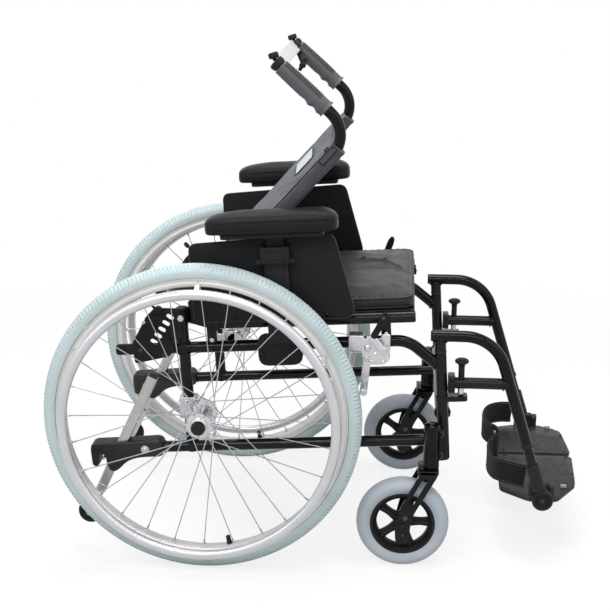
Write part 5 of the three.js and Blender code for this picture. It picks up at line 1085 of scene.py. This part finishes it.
def seat_side(name, s):
    out = (0, s, 0)
    guard = Piece("guard_panel", "seat_unit", "black_plastic", "skirt_guard", SEAT, name)
    low, high = RAIL_Z + 12, RAIL_Z + 175
    outline = rounded([(-17, high - 10), (-17, low), (290, low), (254, high)], [16, 14, 26, 16], 8)
    guard.add(GUARD, plate(outline, 4, s * GUARD_PLANE, 1.7))
    # a lighter strip standing just proud of the guard's edge: a painted highlight along that edge
    guard.add(EDGE_HIGHLIGHT, plate(inset(outline, -0.5), 1.4, s * GUARD_PLANE, 0.6))
    for x in (60, 234):
        guard.add(PLASTIC, pin(x, s * 211.5, s * 239.5, low + 7, 5))
        guard.add(PAINT, button((x, s * 243, low + 7), out, 5.4, 2.6))
    guard.build()

    inner = GUARD_PLANE + 2.3
    plane, low, top = inner + 7.5, RAIL_Z - 74, RAIL_Z + 143
    middle = (top + low + 45) / 2
    post = Piece("arm_post_body", "seat_unit", "black_plastic", "arm_post", SEAT, name)
    outline = rounded([(101, low + 63), (101, low), (185, low), (185, low + 63)], 20, 7)
    rim = inset(outline, 6)
    post.add(PLASTIC, plate(outline, 8, s * (inner + 4), 1.8),
             plate(rim, 1, s * (inner + 8.2), 0.4, holes=[inset(rim, 1.6)]),
             block((45, 15, top - low - 45), (146, s * plane, middle), 3, 1.2),
             *(block((3, 1.6, top - low - 90), (x, s * (plane + 7.6), middle), 1, 0.5) for x in (131, 161)),
             block((54, 28, 32), (146, s * (inner + 14), top), 5, 1.8),
             block((30, 3, 14), (146, s * (inner + 28.4), top), 4, 1, "xz"),
             block((72, 12, 9), (146, s * (inner + 17), top - 11.5), 3, 1.2))
    post.add(PAINT, button((108, s * (inner + 8), low + 21), out, 7, 3))
    post.add(ZINC, pin(146, s * 216.4, s * 246, RAIL_Z, 5))
    post.build()

    top = RAIL_Z + 187.7
    carrier = Piece("arm_carrier", "armrest_slide", "black_plastic", "armrest", SEAT, name)
    carrier.add(PLASTIC, block((190, 44, 10), (143, s * 257, top - 5), 9, 2),
                block((32, 8, 120), (146, s * plane, top - 60), 2, 0.8),
                *(block((8, 3, 7), (x, s * 278.6, top - 5), 2, 0.8, "xz") for x in (70, 110, 186, 222)))
    carrier.add(ZINC, *(button((x, s * 262, top - 9.6), (0, 0, -1), 4.6, 3) for x in (66, 220)))
    carrier.build()

    pad = Piece("arm_pad_cover", "armrest_slide", "arm_pad_vinyl", "arm_pad", SEAT, name)
    centre = SEAT @ move(143, s * 257, top + 15.3)
    half = [(-122, -25.5), (-90, -31), (-50, -32), (122, -32)]
    outline = rounded(mirrored(half), [22, 30, 30, 30, 30, 30, 30, 22], 9)
    loop = resample([Vector((u, v, 0)) for u, v in outline], 3.6)

    def stand(p, share):
        """The point p drawn in towards the pad's middle line."""
        middle = Vector((max(-88, min(90, p.x)), 0, 0))
        return middle + (p - middle) * share
    seam_z, dome_z = 4.4, 5.2
    # how far each ring stands out from the pad's middle line, and its height
    levels = [(0.84, -15), (0.92, -14.7), (0.965, -13.6), (0.99, -11), (1, -7), (0.998, -2), (0.985, 2), (0.968, 3.6),
              (0.935, seam_z), (0.968, dome_z)]
    for a in (6, 12, 19, 26, 33, 41, 49, 57, 65, 73, 80, 86, 89):
        up = math.radians(a)
        levels.append((0.975 * math.cos(up) ** 0.8, dome_z + 19 * math.sin(up) ** 0.86))
    verts, faces = [], []
    for share, z in levels:
        for p in loop:
            spot = stand(p, share)
            rear, nose = max(0.0, -spot.x / 122 - 0.36) / 0.64, max(0.0, spot.x / 122 - 0.66) / 0.34
            rise = max(0.0, z - dome_z)
            spot.z = z - rise * (0.5 * rear ** 1.6 + 0.3 * nose ** 2)
            if rise:
                spot.z += 0.2 * noise.noise(Vector((spot.x, spot.y, 4)) / 40)
            verts.append(spot)
    count, last = len(loop), len(levels) - 1
    walls(faces, 0, count, last)
    faces += [tuple(range(count)), tuple(last * count + i for i in range(count))]
    seam = [stand(p, 0.972) + Vector((0, 0, seam_z)) for p in loop]
    pad.add(VINYL, (verts, faces), sweep(seam, circle(1.1, 8), UP, closed=True), at=centre)
    pad.build(40)


# ---------------------------------------------------------------- backrest
def lobes(index, side, radius, offset):
    """The six lobes of a hand screw."""
    return (radius * (1 + 0.12 * math.cos(side * 2 * math.pi / 8)), offset) if radius > 6 else (radius, offset)


def backrest():
    bar = Piece("stiffening_bar_and_clamps", "backrest", "bright_metal", "stiffening_bar", BACK)
    x = -188
    bar.add(SATIN, strap([(x + 4, -200, 449), (x + 4, 194, 440)], 27, 5, (1, 0, 0), 0.5))
    for name, s in SIDES:
        y = s * RAIL_PLANE
        cane = Piece("back_cane_tube", "backrest", "frame_paint", "back_cane", BACK, name)
        cane.add(PAINT, tube([(0, y, -11), (0, y, 440), (-192, y, 440)], TUBE, 56))
        collar = [(TUBE + 0.1, 0), (TUBE + 2, 1), (TUBE + 2, 13), (TUBE + 0.1, 14)]
        cane.add(PLASTIC, lathe(collar, (0, y, 70), "z", 32))
        cane.build()
        grip(name, s)
        end_cap = [(0, -6), (12.8, -6), (14, -5), (14.2, 0), (13.8, 4.6), (12, 6), (0, 6)]
        screw = [(0, 0), (4, 0), (4, 4), (8, 5), (9, 7), (9, 13), (7.4, 15), (0, 15.6)]
        bar.add(PLASTIC, lathe(end_cap, (x + 3, y, 440), "x", 40), block((15, 26, 10), (x + 4, s * 190, 444), 3, 1.4),
                lathe(screw, (x - 4, y, 441), (-0.86, 0, 0.5), 48, shape=lobes))
    bar.add(PLASTIC, block((18, 22, 12), (x + 16, 166, 438), 4, 1.6), rod((x + 18, 166, 434), (x + 38, 166, 425), 3.2))
    bar.add(PLASTIC, lathe([(0, -6), (6, -6), (7, -4), (7, 5), (5, 7), (0, 7.4)], (0, 0, 0), "x", 28),
            block((8, 9, 30), (0, 0, 0), 3, 1.8, "xz"), at=BACK @ move(x + 41, 166, 424) @ turn(-14))
    bar.build()


# height, place along the grip and width of each finger's ridge or notch
NOTCHES = ((2.6, 0.09, 0.05), (2.4, 0.28, 0.045), (-1.2, 0.18, 0.04), (-1.0, 0.38, 0.06))


def grip(name, s):
    y = s * RAIL_PLANE
    piece = Piece("hand_grip", "backrest", "grip_rubber", "grip", BACK, name)
    start, length, sides, stations = -64, 114, 48, 117
    verts, faces = [], []
    for i in range(stations + 1):
        t = i / stations
        x = start - t * length
        radius = 14.6 + 2.6 * math.exp(-(t / 0.035) ** 2) + 0.9 * math.sin(math.pi * min(1, t * 1.05))
        if t > 0.985:
            radius -= 1.6 * ((t - 0.985) / 0.015) ** 2
        for j in range(sides):
            angle = 2 * math.pi * j / sides
            up, out = math.cos(angle), math.sin(angle)
            # finger notches underneath, near the bend
            r = radius + max(0.0, -up) ** 1.5 * sum(
                high * math.exp(-((t - where) / wide) ** 2) for high, where, wide in NOTCHES)
            # ridged strip along the top
            if up > 0.55 and 0.2 < t < 0.97:
                r += 0.5 + 0.8 * math.sin(2 * math.pi * i / 4.5) * min(1, (up - 0.55) * 5)
            verts.append((x, y + out * r, 440 + up * r))
    walls(faces, 0, sides, stations)
    faces += [tuple(range(sides)), tuple(stations * sides + j for j in range(sides))]
    piece.add(RUBBER, (verts, faces))
    piece.materials.append(RIDGES)
    for i in range(int(stations * 0.2), int(stations * 0.97)):
        for j in range(sides):
            if math.cos(2 * math.pi * (j + 0.5) / sides) > 0.55:
                piece.slots[i * sides + j] = 1
    piece.build(40)


def back_face(y):
    """How far the cover's rear face stands behind the canes: pulled from edge to edge over the sagging middle."""
    out = abs(y)
    if out > 214:
        return -13 + 4.5 * ((out - 214) / 9) ** 2
    return -13 - 14.5 * (1 - (out / 214) ** 1.25)


def upholstery():
    piece = Piece("back_upholstery_cover", "backrest", "back_cloth", "back_upholstery", BACK)
    height, width, middle = 308, 446, 250

    def shape(u, v, w, p):
        # u is through the cloth, v across the chair, w up the back
        y, z, out = p.y, p.z, abs(p.y)
        rear = back_face(y)
        ease = max(0.0, min(1.0, (out - 172) / 24))
        ease = ease * ease * (3 - 2 * ease)
        front = (rear + 8) * (1 - ease) + (14 - (5 * ((out - 214) / 9) ** 2 if out > 214 else 0)) * ease
        wrinkle = 1.3 * noise.noise(Vector((y / 60, z / 34, 3))) + 0.6 * noise.noise(Vector((y / 22, z / 15, 7)))
        wrinkle -= folded(y, z + middle, BACK_FOLDS)
        x = rear + (front - rear) * (u + 1) / 2 + wrinkle * (0.3 if out > 200 else 1)
        hem = math.exp(-((abs(z) - height / 2 + 9) / 1.6) ** 2)
        x -= 0.8 * hem * u
        if out > 222:
            y += math.copysign(1.4 * (1 - u * u) + 0.8 * noise.noise(Vector((x / 9, z / 26, 1))), y)
        return Vector((x, y, z))
    piece.add(CLOTH, soft((30, width, height), (8, 200, 130), 0.01, shape), at=BACK @ move(0, 0, middle))
    piece.materials.append(SLEEVE)
    flat = BACK.inverted()
    for index, face in enumerate(piece.faces):
        if abs((flat @ piece.verts[face[0]]).y) > 216:
            piece.slots[index] = 1
    for s in (-1, 1):
        seam = [(back_face(217) - 0.4, s * 217.5, z) for z in range(98, 403, 8)]
        piece.add(PIPING, sweep(seam, circle(1.2, 8)))
    for z in (99, 401):
        hem = [(back_face(y) - 0.3, y, z) for y in range(-214, 215, 6)]
        piece.add(PIPING, sweep(hem, circle(1.1, 8), (1, 0, 0)))
    back = piece.build(60)
    flap = Piece("back_cover_flaps", "backrest", "back_cloth", at=BACK)
    outline = rounded([(-14, 362), (-1, 362), (-1, 403), (-14, 403)], 4)
    for s in (-1, 1):
        snap = (back_face(203) - 0.4, s * 203, 385)
        flap.add(SLEEVE, plate(outline, 3, s * 225.2, 0.9))
        flap.add(PIPING, plate(outline, 1, s * 227.0, 0.3, holes=[inset(outline, 1.7)]))
        flap.add(DARKRUBBER, button(snap, (-1, 0, 0), 6, 3.4, False))
        flap.add(DARKBOLT, ring(6.2, 0.9, snap, "x", 28, 8))
    flap.build()
    label = Piece("blank_back_patch", "backrest", "back_cloth", at=BACK)
    for amount, lift, material in ((0, 1.5, PIPING), (4.5, 2.1, PATCH)):
        patch = inset(rounded(rectangle(-142, -52, 296, 349), 12, 6), amount)
        verts, faces = plate(patch, 1.2, 0, 0.4, "yz")
        label.add(material, ([(back_face(y) - lift + x, y, z) for x, y, z in verts], faces))
    label.build()


cross_tubes()
seat_frame()
seat_cushion()
for side_name, side_sign in SIDES:
    for builder in (base_side, rear_wheel, caster, wheel_lock, footrest, antitip, seat_side):
        builder(side_name, side_sign)
backrest()
upholstery()


# ---------------------------------------------------------------- stage, light and camera
WHITE = (1, 1, 1, 1)


def seen(tree):
    """Whether a ray comes from the camera itself, and whether it does so straight or by gloss or glass."""
    path = node(tree, "LightPath", {}).outputs
    other = calc(tree, "MAXIMUM", path["Is Glossy Ray"], path["Is Transmission Ray"])
    return path["Is Camera Ray"], calc(tree, "MAXIMUM", path["Is Camera Ray"], other)


def blend(tree, kind, share, plain, bright):
    """Ends a tree in a mix of two shaders."""
    mixed = node(tree, "MixShader", {0: share, 1: plain.outputs[0], 2: bright.outputs[0]})
    node(tree, kind, {"Surface": mixed.outputs[0]})


def stage():
    mesh = bpy.data.meshes.new("studio_floor")
    mesh.from_pydata([(-30, -30, 0), (30, -30, 0), (30, 30, 0), (-30, 30, 0)], [], [(0, 1, 2, 3)])
    floor = bpy.data.objects.new("studio_floor", mesh)
    bpy.context.scene.collection.objects.link(floor)
    made = bpy.data.materials.new("pale_floor")
    made.use_nodes = True
    tree = made.node_tree
    tree.nodes.clear()
    straight, white = seen(tree)
    # pale to the camera, duller to the light that it throws back at the chair
    diffuse = node(tree, "BsdfDiffuse", {"Color": ranged(tree, straight, 0.6, 0.9, 0, 1)})
    # plain white away from the chair, where none of its shadow falls
    distance = tree.nodes.new("ShaderNodeVectorMath")
    distance.operation = "LENGTH"
    feed(tree, distance, {0: node(tree, "TexCoord", {}).outputs["Object"]})
    fade = ranged(tree, distance.outputs["Value"], 0.8, 1.0, 0.7, 2.2, "SMOOTHSTEP")
    blend(tree, "OutputMaterial", calc(tree, "MULTIPLY", white, fade), diffuse,
          node(tree, "Emission", {"Color": WHITE, "Strength": 1.0}))
    mesh.materials.append(made)

    world = bpy.data.worlds.new("studio")
    world.use_nodes = True
    bpy.context.scene.world = world
    tree = world.node_tree
    tree.nodes.clear()
    blend(tree, "OutputWorld", seen(tree)[1],
          *(node(tree, "Background", {"Color": WHITE, "Strength": strength}) for strength in (0.4, 1.0)))


def lamp(name, place, aim, size, power):
    data = bpy.data.lights.new(name, "AREA")
    data.shape = "RECTANGLE"
    data.size, data.size_y = size
    data.energy = power
    made = bpy.data.objects.new(name, data)
    bpy.context.scene.collection.objects.link(made)
    made.location = place
    made.rotation_euler = (Vector(aim) - Vector(place)).to_track_quat("-Z", "Y").to_euler()


def camera():
    yaw, pitch, roll = -0.073, 0.278, 0.004
    ahead = Vector((math.sin(yaw) * math.cos(pitch), math.cos(yaw) * math.cos(pitch), -math.sin(pitch)))
    right = Vector((math.cos(yaw), -math.sin(yaw), 0))
    up = right.cross(ahead)
    x = right * math.cos(roll) + up * math.sin(roll)
    y = up * math.cos(roll) - right * math.sin(roll)
    place = Vector((365.858, -2619.89, 1202.35)) * MM + Vector((AXLE_X, 0, 0))
    data = bpy.data.cameras.new("photo_camera")
    data.sensor_width = 36
    data.lens = 1331.008 / 610 * 36
    data.clip_end = 100
    made = bpy.data.objects.new("photo_camera", data)
    bpy.context.scene.collection.objects.link(made)
    made.matrix_world = Matrix(((x.x, y.x, -ahead.x, place.x), (x.y, y.y, -ahead.y, place.y),
                                (x.z, y.z, -ahead.z, place.z), (0, 0, 0, 1)))
    bpy.context.scene.camera = made


stage()
lamp("key", (-1.0, -2.4, 2.9), (0, 0, 0.4), (1.4, 0.6), 38)
lamp("fill", (2.6, -1.4, 1.9), (0, 0, 0.4), (0.5, 1.8), 10)
lamp("side", (-2.7, -1.5, 1.9), (0, 0, 0.6), (0.3, 1.8), 14)
lamp("top", (0.2, 0.2, 3.3), (0, 0, 0.3), (2.6, 1.0), 72)
lamp("strip", (0.3, -2.7, 2.3), (0, 0, 0.4), (3.0, 0.1), 24)
camera()
bpy.context.scene.view_settings.view_transform = "Standard"
